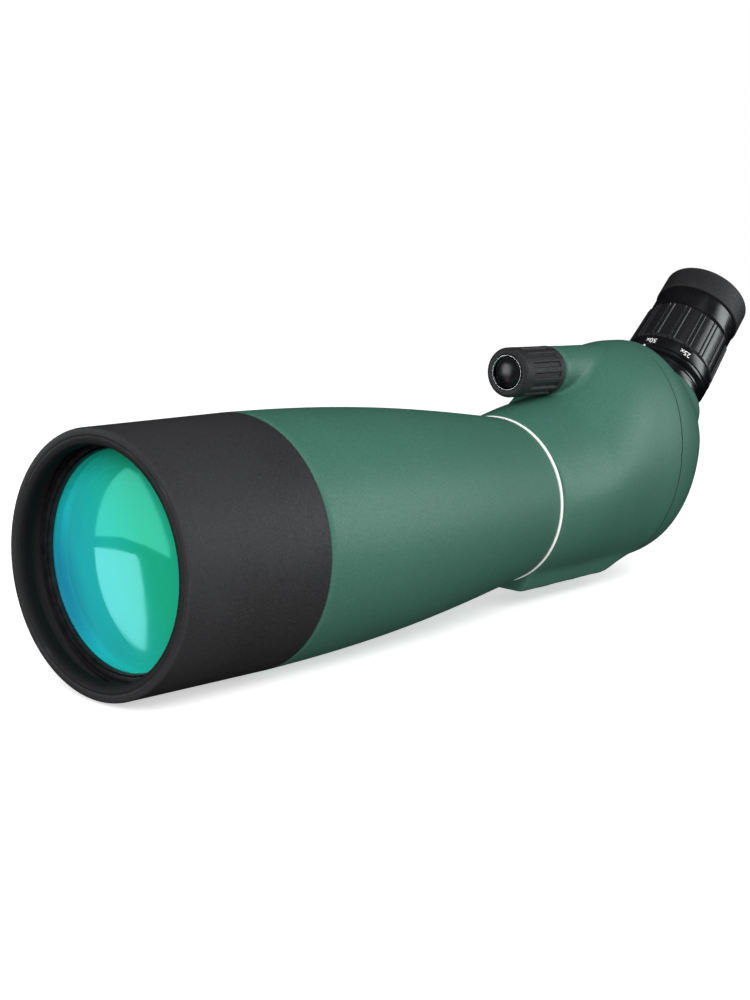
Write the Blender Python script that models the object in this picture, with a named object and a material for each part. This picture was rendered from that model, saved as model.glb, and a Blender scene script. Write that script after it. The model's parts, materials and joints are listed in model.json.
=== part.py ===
"""Angled zoom spotting scope, 70 mm class, as an assembly of separate solids.

Frame: +Z up, the tube's optical axis along Y with the objective towards -Y, and the origin at
the centre of the tripod foot's flat underside. Metres throughout.

Three turning axes carry almost every piece. Each turned piece is drawn as a profile of
(radius, distance along its axis) and placed by its object's location and rotation:
  tube axis      distance is the station behind the hood's front rim
  focus axis     the same stations, on the parallel axis above the tube
  eyepiece axis  distance from where that axis, tilted back 45 degrees, crosses the tube axis
"""

import math

import bmesh
import bpy
import numpy as np

# ---- driving dimensions -------------------------------------------------------------------
AXIS_HEIGHT = 0.0350  # tube axis above the foot's underside
RIM_Y = -0.2270  # hood's front rim, where the stations start
EYEPIECE_STATION = 0.2768  # where the eyepiece axis crosses the tube axis
EYEPIECE_TILT = math.radians(45)
FOCUS_AXIS_OFFSET = 0.0493  # focus axis above the tube axis
GAP = 0.0003  # clearance between pieces that touch

HOOD_REAR = 0.0575
HOOD_FRONT_RADIUS = 0.0410
HOOD_REAR_RADIUS = 0.0421
HOOD_BORE_RADIUS = 0.0394
HOOD_LIP_RADIUS = 0.0357
BARREL_RADIUS = 0.0383  # front barrel that the hood slides on
BARREL_FRONT = 0.0121
LENS_RADIUS = 0.0346
CLEAR_RADIUS = 0.0339

TUBE_FRONT = 0.0579
TUBE_REAR = 0.1958
TUBE_FRONT_RADIUS = 0.0421
NECK_RADIUS = 0.0322
TUBE_WALL = 0.0024
SPIGOT_RADIUS = 0.0299
SPIGOT_REAR = 0.2060

HOUSING_FRONT = 0.1979
SEAM_STATION = 0.2800
HOUSING_WALL = 0.0026
FOOT_REAR = 0.2560
FOOT_HALF_WIDTH = 0.0150
FOOT_FLARE = 0.45  # how far the foot's side leans out for each unit of height
BOSS_RADIUS = 0.0095
BOSS_FRONT = 0.2294
BOSS_REAR = 0.2660
BOSS_BORE_RADIUS = 0.0053

SOCKET_RADIUS = 0.0228
SOCKET_FACE = 0.0530
SOCKET_BORE_RADIUS = 0.01775
ZOOM_RADIUS = 0.0206
EYECUP_RADIUS = 0.0202
EYECUP_TOP = 0.1106

PRISM_FACE_STATION = 0.2686
PRISM_FACE_LENGTH = 0.0400
PRISM_HALF_WIDTH = 0.0170

INSERT_Y = -0.0120  # brass tripod bush, in front of the foot's centre
INSERT_RADIUS = 0.0050
INSERT_DEPTH = 0.0090
PIN_HOLE_Y = 0.0140  # locating-pin hole behind it
PIN_HOLE_RADIUS = 0.0023

LARGE = 34  # segments of the big turned shells
MEDIUM = 26
SMALL = 16
SHELL_COUNT = 38  # points round each housing section
CUTTER_PHASE = 0.37  # turns drills off the facets of what they cut, as a share of a facet

# The housing's cross-sections: station, half width, top, widest level, bottom, squareness.
# Heights are from the tube axis.
HOUSING_ROWS = (
    (0.1979, 0.0324, 0.0324, 0.0000, -0.0324, 2.0),
    (0.2030, 0.0331, 0.0354, 0.0010, -0.0326, 2.0),
    (0.2100, 0.0337, 0.0376, 0.0020, -0.0328, 2.0),
    (0.2220, 0.0343, 0.0385, 0.0035, -0.0330, 2.0),
    (0.2300, 0.0346, 0.0393, 0.0050, -0.0332, 2.0),
    (0.2370, 0.0348, 0.0446, 0.0070, -0.0334, 2.0),
    (0.2460, 0.0350, 0.0510, 0.0090, -0.0336, 2.0),
    (0.2560, 0.0351, 0.0563, 0.0110, -0.0338, 2.05),
    (0.2680, 0.0351, 0.0594, 0.0130, -0.0338, 2.05),
    (0.2800, 0.0350, 0.0602, 0.0140, -0.0336, 2.05),
    (0.2900, 0.0340, 0.0592, 0.0150, -0.0328, 2.05),
    (0.2980, 0.0317, 0.0538, 0.0160, -0.0308, 2.05),
    (0.3040, 0.0289, 0.0479, 0.0170, -0.0272, 2.05),
    (0.3090, 0.0256, 0.0430, 0.0180, -0.0205, 2.05),
    (0.3130, 0.0222, 0.0390, 0.0190, -0.0135, 2.05),
    (0.3165, 0.0180, 0.0355, 0.0203, -0.0060, 2.05),
    (0.3190, 0.0138, 0.0330, 0.0218, 0.0030, 2.05),
    (0.3208, 0.0090, 0.0306, 0.0232, 0.0120, 2.05),
    (0.3218, 0.0040, 0.0280, 0.0245, 0.0205, 2.05),
)


# ---- scene and materials ------------------------------------------------------------------
def clear_scene():
    for obj in list(bpy.data.objects):
        bpy.data.objects.remove(obj, do_unlink=True)


def material(name, colour, roughness, metallic=0.0):
    made = bpy.data.materials.new(name)
    made.use_nodes = True
    shader = made.node_tree.nodes["Principled BSDF"]
    shader.inputs["Base Color"].default_value = (*colour, 1.0)
    shader.inputs["Roughness"].default_value = roughness
    shader.inputs["Metallic"].default_value = metallic
    return made


def make_materials():
    return {
        "green_armour": material("green_armour", (0.060, 0.190, 0.140), 0.55),
        "black_armour": material("black_armour", (0.035, 0.036, 0.038), 0.60),
        "black_plastic": material("black_plastic", (0.020, 0.020, 0.022), 0.35),
        "black_rubber": material("black_rubber", (0.025, 0.025, 0.027), 0.70),
        "white_ring": material("white_ring", (0.85, 0.86, 0.85), 0.40),
        "black_metal": material("black_metal", (0.030, 0.030, 0.032), 0.45, 0.6),
        "coated_glass": material("coated_glass", (0.10, 0.70, 0.60), 0.05),
        "steel": material("steel", (0.60, 0.60, 0.62), 0.30, 1.0),
        "brass": material("brass", (0.75, 0.58, 0.30), 0.30, 1.0),
        "chrome": material("chrome", (0.80, 0.80, 0.82), 0.10, 1.0),
        "gloss_black": material("gloss_black", (0.010, 0.010, 0.012), 0.08),
    }


# ---- mesh helpers -------------------------------------------------------------------------
def link_mesh(name, bm, look=None, smooth=True):
    bmesh.ops.recalc_face_normals(bm, faces=bm.faces)
    mesh = bpy.data.meshes.new(name)
    bm.to_mesh(mesh)
    bm.free()
    obj = bpy.data.objects.new(name, mesh)
    bpy.context.scene.collection.objects.link(obj)
    if look is not None:
        mesh.materials.append(look)
    if smooth:
        mesh.shade_smooth()
        mesh.set_sharp_from_angle(angle=math.radians(35))
    return obj


def bridge(bm, rings, closed):
    """Faces between rings of vertices. A ring of one vertex is a point on the axis."""
    pairs = list(zip(rings, rings[1:]))
    if closed:
        pairs.append((rings[-1], rings[0]))
    for near, far in pairs:
        count = max(len(near), len(far))
        if len(near) == len(far) == 1:
            continue
        for i in range(count):
            j = (i + 1) % count
            if len(near) == 1:
                bm.faces.new((near[0], far[j], far[i]))
            elif len(far) == 1:
                bm.faces.new((near[i], near[j], far[0]))
            else:
                bm.faces.new((near[i], near[j], far[j], far[i]))


def turned_mesh(profile, segments, phase=0.0):
    """A solid of revolution about local Z from points (radius, distance).

    A profile that starts and ends on the axis is solid. Its flat ends are single faces.
    """
    points = list(profile)
    solid = points[0][0] == 0
    flat_start = solid and points[0][1] == points[1][1]
    flat_end = solid and points[-1][1] == points[-2][1]
    if flat_start:
        points = points[1:]
    if flat_end:
        points = points[:-1]
    bm = bmesh.new()
    rings = []
    for radius, along in points:
        if radius == 0:
            rings.append([bm.verts.new((0, 0, along))])
            continue
        circle = []
        for i in range(segments):
            angle = 2 * math.pi * (i + phase) / segments
            circle.append(bm.verts.new((radius * math.cos(angle), radius * math.sin(angle), along)))
        rings.append(circle)
    bridge(bm, rings, closed=not solid)
    if flat_start:
        bm.faces.new(rings[0][::-1])
    if flat_end:
        bm.faces.new(rings[-1])
    return bm


def place(obj, axis):
    """Puts a turned piece on the tube, focus or eyepiece axis."""
    if axis == "tube":
        obj.location = (0, RIM_Y, AXIS_HEIGHT)
        obj.rotation_euler = (-math.pi / 2, 0, 0)
    elif axis == "focus":
        obj.location = (0, RIM_Y, AXIS_HEIGHT + FOCUS_AXIS_OFFSET)
        obj.rotation_euler = (-math.pi / 2, 0, 0)
    elif axis == "eyepiece":
        obj.location = (0, RIM_Y + EYEPIECE_STATION, AXIS_HEIGHT)
        obj.rotation_euler = (-EYEPIECE_TILT, 0, 0)
    return obj


def turned(name, profile, axis, look=None, segments=MEDIUM, phase=0.0):
    return place(link_mesh(name, turned_mesh(profile, segments, phase), look), axis)


def ring(name, inner, outer, start, end, axis, look=None, segments=MEDIUM):
    profile = ((inner, start), (outer, start), (outer, end), (inner, end))
    return turned(name, profile, axis, look, segments)


def disc(name, radius, start, end, axis, look=None, segments=MEDIUM):
    profile = ((0, start), (radius, start), (radius, end), (0, end))
    return turned(name, profile, axis, look, segments, CUTTER_PHASE)


def lens(name, radius, front, rear, front_bulge, rear_bulge, axis, look, segments=MEDIUM, steps=3):
    """A lens whose edge runs from front to rear. A positive bulge swells outward."""
    profile = []
    for i in range(steps + 1):
        share = i / steps
        profile.append((radius * share, front - front_bulge * (1 - share * share)))
    for i in range(steps, -1, -1):
        share = i / steps
        profile.append((radius * share, rear + rear_bulge * (1 - share * share)))
    return turned(name, profile, axis, look, segments)


def block(name, low, high, look=None):
    """A box between two corners. Y is given as a station and Z from the tube axis."""
    bm = bmesh.new()
    bmesh.ops.create_cube(bm, size=1.0)
    size = [b - a for a, b in zip(low, high)]
    middle = [(a + b) / 2 for a, b in zip(low, high)]
    bmesh.ops.scale(bm, vec=size, verts=bm.verts)
    bmesh.ops.translate(bm, vec=middle, verts=bm.verts)
    obj = link_mesh(name, bm, look, smooth=False)
    obj.location = (0, RIM_Y, AXIS_HEIGHT)
    return obj


def plate(name, outline, start, end, along, look=None):
    """A flat outline pushed along an axis, stations and heights as in block.

    Along "y" the outline holds (x, height). Along "x" it holds (station, height).
    """
    bm = bmesh.new()
    rings = []
    for depth in (start, end):
        if along == "y":
            rings.append([bm.verts.new((a, depth, b)) for a, b in outline])
        else:
            rings.append([bm.verts.new((depth, a, b)) for a, b in outline])
    bridge(bm, rings, closed=False)
    bm.faces.new(rings[0][::-1])
    bm.faces.new(rings[-1])
    obj = link_mesh(name, bm, look, smooth=False)
    obj.location = (0, RIM_Y, AXIS_HEIGHT)
    return obj


def rod(name, radius, start, end, x, z, look=None, segments=SMALL):
    """A cylinder parallel to the tube axis."""
    obj = disc(name, radius, start, end, "tube", look, segments)
    obj.location = (x, RIM_Y, AXIS_HEIGHT + z)
    return obj


def upright(name, radius, low, high, x, y, look=None, segments=SMALL):
    """A cylinder parallel to Z, in the part's own frame."""
    obj = disc(name, radius, low, high, "none", look, segments)
    obj.location = (x, y, 0)
    return obj


def combine(target, helper, operation):
    helper.hide_render = True
    helper.display_type = "WIRE"
    step = target.modifiers.new(operation.lower() + "_" + helper.name, "BOOLEAN")
    step.operation = operation
    step.solver = "EXACT"
    step.object = helper


def cut(target, *helpers):
    for helper in helpers:
        combine(target, helper, "DIFFERENCE")


def join(target, *helpers):
    for helper in helpers:
        combine(target, helper, "UNION")


def weld(target):
    """Closes the hairline slivers that many cuts in a row can leave."""
    step = target.modifiers.new("weld", "WELD")
    step.merge_threshold = 0.000008


# ---- tube outline and housing surface -----------------------------------------------------
def tube_radius(station):
    """Outside of the main tube: full at the hood, eased down to the neck."""
    share = (station - TUBE_FRONT) / (TUBE_REAR - TUBE_FRONT)
    share = min(max(share, 0.0), 1.0) ** 1.6
    return NECK_RADIUS + (TUBE_FRONT_RADIUS - NECK_RADIUS) * (1 + math.cos(math.pi * share)) / 2


def housing_row(station):
    """The section values at any station, by a smooth curve through the rows."""
    rows = np.array(HOUSING_ROWS)
    places = rows[:, 0]
    station = min(max(station, places[0]), places[-1])
    k = min(int(np.searchsorted(places, station, side="right")) - 1, len(places) - 2)
    slopes = np.gradient(rows, places, axis=0)
    width = places[k + 1] - places[k]
    t = (station - places[k]) / width
    start = (2 * t**3 - 3 * t**2 + 1) * rows[k] + (t**3 - 2 * t**2 + t) * width * slopes[k]
    end = (3 * t**2 - 2 * t**3) * rows[k + 1] + (t**3 - t**2) * width * slopes[k + 1]
    return start + end


def foot_level(station):
    """The foot's underside: flat, then rising to meet the housing's chin."""
    return -AXIS_HEIGHT + max(0.0, station - FOOT_REAR) * 0.22


def section(station, count, inset=0.0, floor=None, with_foot=True):
    """Points (x, z) round the housing at a station, from the tube axis."""
    _, half, top, middle, bottom, power = housing_row(station)
    half -= inset
    points = []
    for i in range(count):
        angle = 2 * math.pi * i / count
        c = math.cos(angle)
        s = math.sin(angle)
        rise = (top - middle if s > 0 else middle - bottom) - inset
        radius = ((abs(c) / half) ** power + (abs(s) / rise) ** power) ** (-1 / power)
        if with_foot and s < -0.5:
            under = (middle - foot_level(station)) / -s
            reach = FOOT_HALF_WIDTH + (AXIS_HEIGHT + middle) * FOOT_FLARE
            side = reach / (abs(c) - s * FOOT_FLARE)
            foot = min(under, side)
            blend = 0.5 * (radius + foot + math.hypot(radius - foot, 0.0006))
            weight = min(1.0, (-s - 0.5) / 0.2)
            radius += weight * (blend - radius)
            radius = min(radius, (middle + AXIS_HEIGHT) / -s)
        x = radius * c
        z = middle + radius * s
        if floor is not None:
            z = max(z, floor)
        points.append((x, z))
    return points


def loft(name, stations, count, look=None, **options):
    """A closed solid through the housing's sections at the stations."""
    bm = bmesh.new()
    rings = []
    for station in stations:
        points = section(station, count, **options)
        rings.append([bm.verts.new((x, station, z)) for x, z in points])
    bridge(bm, rings, closed=False)
    bm.faces.new(rings[0][::-1])
    bm.faces.new(rings[-1])
    obj = link_mesh(name, bm, look)
    obj.location = (0, RIM_Y, AXIS_HEIGHT)
    return obj


# ---- objective end ------------------------------------------------------------------------
def build_hood(looks):
    profile = (
        (HOOD_LIP_RADIUS, 0.0014),
        (HOOD_LIP_RADIUS + 0.0006, 0.0004),
        (HOOD_FRONT_RADIUS - 0.0026, 0.0),
        (HOOD_FRONT_RADIUS - 0.0010, 0.0004),
        (HOOD_FRONT_RADIUS, 0.0018),
        (HOOD_REAR_RADIUS, HOOD_REAR),
        (BARREL_RADIUS + GAP, HOOD_REAR),
        (BARREL_RADIUS + GAP, HOOD_REAR - 0.0029),
        (HOOD_BORE_RADIUS, HOOD_REAR - 0.0029),
        (HOOD_BORE_RADIUS, 0.0045),
        (HOOD_LIP_RADIUS, 0.0045),
    )
    turned("sun_hood", profile, "tube", looks["black_armour"], LARGE)
    inner = BARREL_RADIUS - 0.0007
    ring("hood_guide_ring", inner, 0.0391, 0.0160, 0.0190, "tube", looks["black_rubber"])


def build_tube(looks):
    steps = 8
    stations = [TUBE_FRONT + (TUBE_REAR - TUBE_FRONT) * i / steps for i in range(steps + 1)]
    profile = [
        (0.0367, BARREL_FRONT),
        (BARREL_RADIUS, BARREL_FRONT),
        (BARREL_RADIUS, 0.0157),
        (BARREL_RADIUS - 0.0010, 0.0157),
        (BARREL_RADIUS - 0.0010, 0.0193),
        (BARREL_RADIUS, 0.0193),
        (BARREL_RADIUS, TUBE_FRONT),
    ]
    profile += [(tube_radius(s), s) for s in stations]
    profile += [
        (SPIGOT_RADIUS, TUBE_REAR),
        (SPIGOT_RADIUS, SPIGOT_REAR),
        (SPIGOT_RADIUS - TUBE_WALL, SPIGOT_REAR),
        (SPIGOT_RADIUS - TUBE_WALL, TUBE_REAR - 0.0040),
    ]
    inside = [s for s in reversed(stations) if 0.0700 < s < TUBE_REAR - 0.0100]
    profile += [(tube_radius(s) - TUBE_WALL, s) for s in inside]
    profile += [(0.0396, 0.0660), (0.0356, 0.0600), (0.0356, 0.0335), (0.0367, 0.0335)]
    turned("main_tube", profile, "tube", looks["green_armour"], LARGE)

    start = TUBE_REAR + GAP
    end = HOUSING_FRONT - GAP
    ring("accent_ring", SPIGOT_RADIUS + GAP, 0.0326, start, end, "tube", looks["white_ring"], LARGE)

    for name, station, bore in (("front_baffle", 0.0950, 0.0290), ("rear_baffle", 0.1480, 0.0220)):
        outer = tube_radius(station + 0.006) - TUBE_WALL - 0.0005
        profile = (
            (bore, station + 0.0004),
            (bore + 0.0010, station),
            (outer, station),
            (outer, station + 0.0050),
            (outer - 0.0012, station + 0.0050),
            (outer - 0.0012, station + 0.0012),
            (bore + 0.0010, station + 0.0012),
        )
        turned(name, profile, "tube", looks["black_plastic"])


def build_objective(looks):
    cell = (
        (LENS_RADIUS + GAP, 0.0093),
        (BARREL_RADIUS, 0.0093),
        (BARREL_RADIUS, BARREL_FRONT - GAP),
        (0.0364, BARREL_FRONT - GAP),
        (0.0364, 0.0320),
        (0.0322, 0.0320),
        (0.0322, 0.0292),
        (LENS_RADIUS + GAP, 0.0292),
    )
    turned("objective_cell", cell, "tube", looks["black_metal"], LARGE)
    retainer = (
        (CLEAR_RADIUS + 0.0002, 0.0096),
        (LENS_RADIUS, 0.0096),
        (LENS_RADIUS, 0.0112),
        (CLEAR_RADIUS, 0.0112),
        (CLEAR_RADIUS, 0.0103),
    )
    turned("objective_retaining_ring", retainer, "tube", looks["black_metal"], LARGE)
    glass = looks["coated_glass"]
    lens("objective_crown_lens", LENS_RADIUS, 0.0117, 0.0182, 0.0030, 0.0030, "tube", glass, LARGE)
    ring("lens_spacer", 0.0334, LENS_RADIUS, 0.0185, 0.0217, "tube", looks["black_metal"], LARGE)
    lens("objective_flint_lens", LENS_RADIUS, 0.0220, 0.0288, -0.0026, 0.0010, "tube", glass, LARGE)


# ---- prism housing ------------------------------------------------------------------------
COVER_PEGS = (("left", 0.0190, 0.0426), ("right", -0.0190, 0.0426))
COVER_SCREWS = (("left", 0.0140, -0.0213), ("right", -0.0140, -0.0213))
CRADLE_SCREWS = (("left", 0.0260), ("right", -0.0260))
CRADLE_FRONT = 0.2653
SCREW_SEAT = 0.2888


def build_housing(looks):
    end = SEAM_STATION - GAP
    past = SEAM_STATION + 0.0030
    stations = [row[0] for row in HOUSING_ROWS if row[0] < SEAM_STATION] + [end - 0.0001, past]
    stations.insert(1, 0.2002)
    housing = loft("prism_housing", stations, SHELL_COUNT, looks["green_armour"])
    boss = disc("boss_core", BOSS_RADIUS, BOSS_FRONT, BOSS_REAR, "focus", segments=MEDIUM)
    join(housing, boss)

    inside = [0.2022, 0.2120, 0.2250, 0.2300, 0.2380, 0.2470, 0.2570, 0.2680, past + 0.0010]
    options = {"inset": HOUSING_WALL, "with_foot": False, "floor": -0.0235}
    cavity = loft("housing_cavity", inside, 30, **options)
    mouth = disc("housing_mouth", SPIGOT_RADIUS + GAP, 0.1900, 0.2060, "tube", segments=LARGE)
    cut(housing, cavity, mouth)

    rebate = loft("gasket_rebate", (0.2784, past + 0.0015), 36, inset=0.0012, with_foot=False)
    cut(housing, rebate)
    for side, x in CRADLE_SCREWS:
        sign = math.copysign(1, x)
        corners = ((0.0222, -0.0050), (0.0314, -0.0050), (0.0330, 0.0050), (0.0222, 0.0050))
        outline = [(sign * a, b) for a, b in corners]
        join(housing, plate("cradle_lug_" + side, outline, 0.2530, CRADLE_FRONT - GAP, "y"))
        cut(housing, rod("cradle_hole_" + side, 0.0015, 0.2545, 0.2700, x, 0.0))
    for level, fixings in (("upper_", COVER_PEGS), ("lower_", COVER_SCREWS)):
        for side, x, z in fixings:
            add_lug(housing, level + side, x, z, past)
    cut(housing, block("housing_rear_trim", (-0.05, end, -0.06), (0.05, 0.3000, 0.08)))

    bore = disc("boss_bore", BOSS_BORE_RADIUS, 0.2200, 0.2700, "focus", segments=SMALL)
    pocket = upright("insert_pocket", INSERT_RADIUS + GAP, -0.0050, 0.0095, 0, INSERT_Y)
    pin_hole = upright("pin_pocket", PIN_HOLE_RADIUS, -0.0050, 0.0060, 0, PIN_HOLE_Y)
    cut(housing, bore, pocket, pin_hole)

    weld(housing)

    insert = ((0.0032, GAP), (INSERT_RADIUS, GAP), (INSERT_RADIUS, INSERT_DEPTH), (0.0032, INSERT_DEPTH))
    bush = turned("tripod_bush", insert, "none", looks["brass"], SMALL)
    bush.location = (0, INSERT_Y, 0)


def add_lug(housing, name, x, z, past):
    """A bored lug on the housing wall, at the seam."""
    profile = ((0, 0.2690), (0.0056, 0.2690), (0.0056, 0.2781), (0.0040, 0.2781), (0.0040, past), (0, past))
    lug = turned("cover_lug_" + name, profile, "tube", segments=16, phase=CUTTER_PHASE)
    lug.location = (x, RIM_Y, AXIS_HEIGHT + z)
    join(housing, lug)
    cut(housing, rod("cover_hole_" + name, 0.0015, 0.2705, 0.2900, x, z, segments=12))


def build_gasket(looks):
    start = 0.2787
    end = SEAM_STATION
    gasket = loft("cover_gasket", (start, end), 36, looks["black_rubber"], inset=0.0015, with_foot=False)
    hollow = loft("gasket_hollow", (start - 0.002, end + 0.002), 36, inset=0.0029, with_foot=False)
    cut(gasket, hollow)


def build_rear_cover(looks):
    start = SEAM_STATION + GAP
    before = SEAM_STATION - 0.0040
    stations = [before, start] + [row[0] for row in HOUSING_ROWS if row[0] > SEAM_STATION + 0.002]
    cover = loft("rear_cover", stations, SHELL_COUNT, looks["green_armour"], with_foot=False)
    bm = bmesh.new()
    rings = []
    for depth in (0.2700, 0.2860, 0.2955, 0.3035, 0.3090, 0.3130, 0.3160):
        outer_station = SEAM_STATION + max(0.0, depth - SEAM_STATION) * 1.09
        points = section(outer_station, 30, inset=HOUSING_WALL, with_foot=False)
        rings.append([bm.verts.new((x, depth, z)) for x, z in points])
    bridge(bm, rings, closed=False)
    bm.faces.new(rings[0][::-1])
    bm.faces.new(rings[-1])
    hollow = link_mesh("cover_hollow", bm)
    hollow.location = (0, RIM_Y, AXIS_HEIGHT)
    cut(cover, hollow)
    socket_profile = (
        (0, 0.0340),
        (SOCKET_RADIUS, 0.0340),
        (SOCKET_RADIUS, SOCKET_FACE - 0.0012),
        (SOCKET_RADIUS - 0.0012, SOCKET_FACE),
        (0, SOCKET_FACE),
    )
    join(cover, turned("socket_core", socket_profile, "eyepiece", segments=LARGE))
    for side, x, z in COVER_PEGS:
        join(cover, rod("peg_post_" + side, 0.0056, before, 0.2880, x, z))
    for side, x, z in COVER_SCREWS:
        join(cover, rod("screw_post_" + side, 0.0056, before, 0.2950, x, z))
    front_trim = block("cover_front_trim", (-0.05, 0.2600, -0.06), (0.05, start, 0.08))
    bore = disc("socket_bore", SOCKET_BORE_RADIUS, 0.0200, 0.0700, "eyepiece", segments=MEDIUM)
    cut(cover, front_trim, bore)
    for side, x, z in COVER_PEGS:
        join(cover, rod("peg_" + side, 0.0012, 0.2730, 0.2840, x, z, segments=12))
    for side, x, z in COVER_SCREWS:
        profile = (
            (0, 0.2700),
            (0.0016, 0.2700),
            (0.0016, SCREW_SEAT - GAP),
            (0.0030, SCREW_SEAT - GAP),
            (0.0030, 0.3300),
            (0, 0.3300),
        )
        drill = turned("cover_drill_" + side, profile, "tube", segments=14, phase=CUTTER_PHASE)
        drill.location = (x, RIM_Y, AXIS_HEIGHT + z)
        cut(cover, drill)
    weld(cover)


def screw(name, head_radius, head_length, shank_radius, shank_length, x, z, station, look):
    """A pan screw driven forward, towards -Y. station is the underside of its head."""
    profile = (
        (0, station - shank_length),
        (shank_radius, station - shank_length),
        (shank_radius, station),
        (head_radius, station),
        (head_radius, station + head_length * 0.6),
        (head_radius * 0.7, station + head_length),
        (0, station + head_length),
    )
    obj = turned(name, profile, "tube", look, 16)
    obj.location = (x, RIM_Y, AXIS_HEIGHT + z)
    return obj


# ---- prism, cradle and focusing mechanism --------------------------------------------------
def build_prism(looks):
    """Forty-five degree roof prism: vertical entry face, exit face square to the eyepiece."""
    top = PRISM_FACE_LENGTH / 2
    height = PRISM_FACE_LENGTH * math.cos(math.radians(22.5))
    share = (height - PRISM_HALF_WIDTH) / height
    low = -PRISM_FACE_LENGTH
    back = PRISM_FACE_LENGTH * math.cos(EYEPIECE_TILT)
    w = PRISM_HALF_WIDTH
    corners = []
    for x in (-w, w):
        corners += [(x, 0, 0), (x, 0, low * share), (x, back * share, -back * share)]
    corners += [(0, 0, low), (0, back, -back)]
    bm = bmesh.new()
    for corner in corners:
        bm.verts.new(corner)
    bmesh.ops.convex_hull(bm, input=bm.verts)
    bmesh.ops.dissolve_limit(bm, angle_limit=0.01, verts=bm.verts, edges=bm.edges)
    prism = link_mesh("roof_prism", bm, looks["coated_glass"], smooth=False)
    prism.location = (0, RIM_Y + PRISM_FACE_STATION, AXIS_HEIGHT + top)

    front = CRADLE_FRONT
    back = front + 0.0030
    outline = (
        (-0.0150, -0.0210),
        (0.0150, -0.0210),
        (0.0203, -0.0145),
        (0.0203, 0.0290),
        (0.0150, 0.0350),
        (-0.0150, 0.0350),
        (-0.0203, 0.0290),
        (-0.0203, -0.0145),
    )
    cradle = plate("prism_cradle", outline, front, back, "y", looks["black_metal"])
    join(cradle, block("cradle_ears", (-0.0295, front + 0.0003, -0.0048), (0.0295, back - 0.0003, 0.0048)))
    slope = PRISM_FACE_STATION + PRISM_FACE_LENGTH / 2
    cheek = (
        (front + 0.0015, -0.0140),
        (0.2860, -0.0140),
        (0.2860, slope - 0.2860),
        (back + 0.0010, slope - back - 0.0010),
        (front + 0.0015, slope - back - 0.0010),
    )
    for side, sign in SIDES:
        near = PRISM_HALF_WIDTH + GAP
        far = 0.0201
        low, high = (near, far) if sign > 0 else (-far, -near)
        join(cradle, plate("cheek_" + side, cheek, low, high, "x"))
    cut(cradle, disc("cradle_window", 0.0145, front - 0.01, front + 0.01, "tube"))
    for side, x in CRADLE_SCREWS:
        cut(cradle, rod("ear_hole_" + side, 0.0016, front - 0.01, front + 0.01, x, 0.0, segments=14))
        screw("cradle_screw_" + side, 0.0026, 0.0018, 0.0012, 0.0125, x, 0.0, back + GAP, looks["steel"])
    for side, x in GUIDE_RODS:
        seat_hole = rod("rod_seat_" + side, 0.0017, front - 0.01, front + 0.01, x, GUIDE_ROD_Z, segments=14)
        cut(cradle, seat_hole)
        rod("focus_guide_rod_" + side, 0.0014, 0.2390, back - 0.0002, x, GUIDE_ROD_Z, looks["steel"], 14)

    seat = (slope - EYEPIECE_STATION) / (2 * math.cos(EYEPIECE_TILT)) + GAP
    low = (-0.0200, -0.0150, seat)
    high = (0.0200, 0.0150, seat + 0.0012)
    clamp = eyepiece_block("prism_clamp", low, high, looks["black_metal"])
    cut(clamp, disc("clamp_window", 0.0125, seat - 0.01, seat + 0.01, "eyepiece"))
    for side, sign in SIDES:
        x = sign * 0.0187
        hole = eyepiece_rod("clamp_hole_" + side, 0.0009, seat - 0.0080, seat + 0.0050, x, 12)
        cut(clamp, hole)
        cut(cradle, hole)
        head = seat + 0.0012 + GAP
        profile = (
            (0, seat - 0.0070),
            (0.0006, seat - 0.0070),
            (0.0006, head),
            (0.0012, head),
            (0.0012, head + 0.0010),
            (0, head + 0.0010),
        )
        pin = turned("clamp_screw_" + side, profile, "none", looks["steel"], 12)
        move_along_eyepiece(pin, x)


def move_along_eyepiece(obj, x):
    """The eyepiece axis, moved sideways by x."""
    obj.location = (x, RIM_Y + EYEPIECE_STATION, AXIS_HEIGHT)
    obj.rotation_euler = (-EYEPIECE_TILT, 0, 0)
    return obj


def eyepiece_rod(name, radius, start, end, x, segments):
    return move_along_eyepiece(disc(name, radius, start, end, "none", None, segments), x)


def eyepiece_block(name, low, high, look=None):
    """A box in the eyepiece's own directions: x, across, and distance along its axis."""
    return place(block(name, low, high, look), "eyepiece")


SIDES = (("left", 1), ("right", -1))
GUIDE_RODS = (("left", 0.0130), ("right", -0.0130))
GUIDE_ROD_Z = 0.0310


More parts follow.
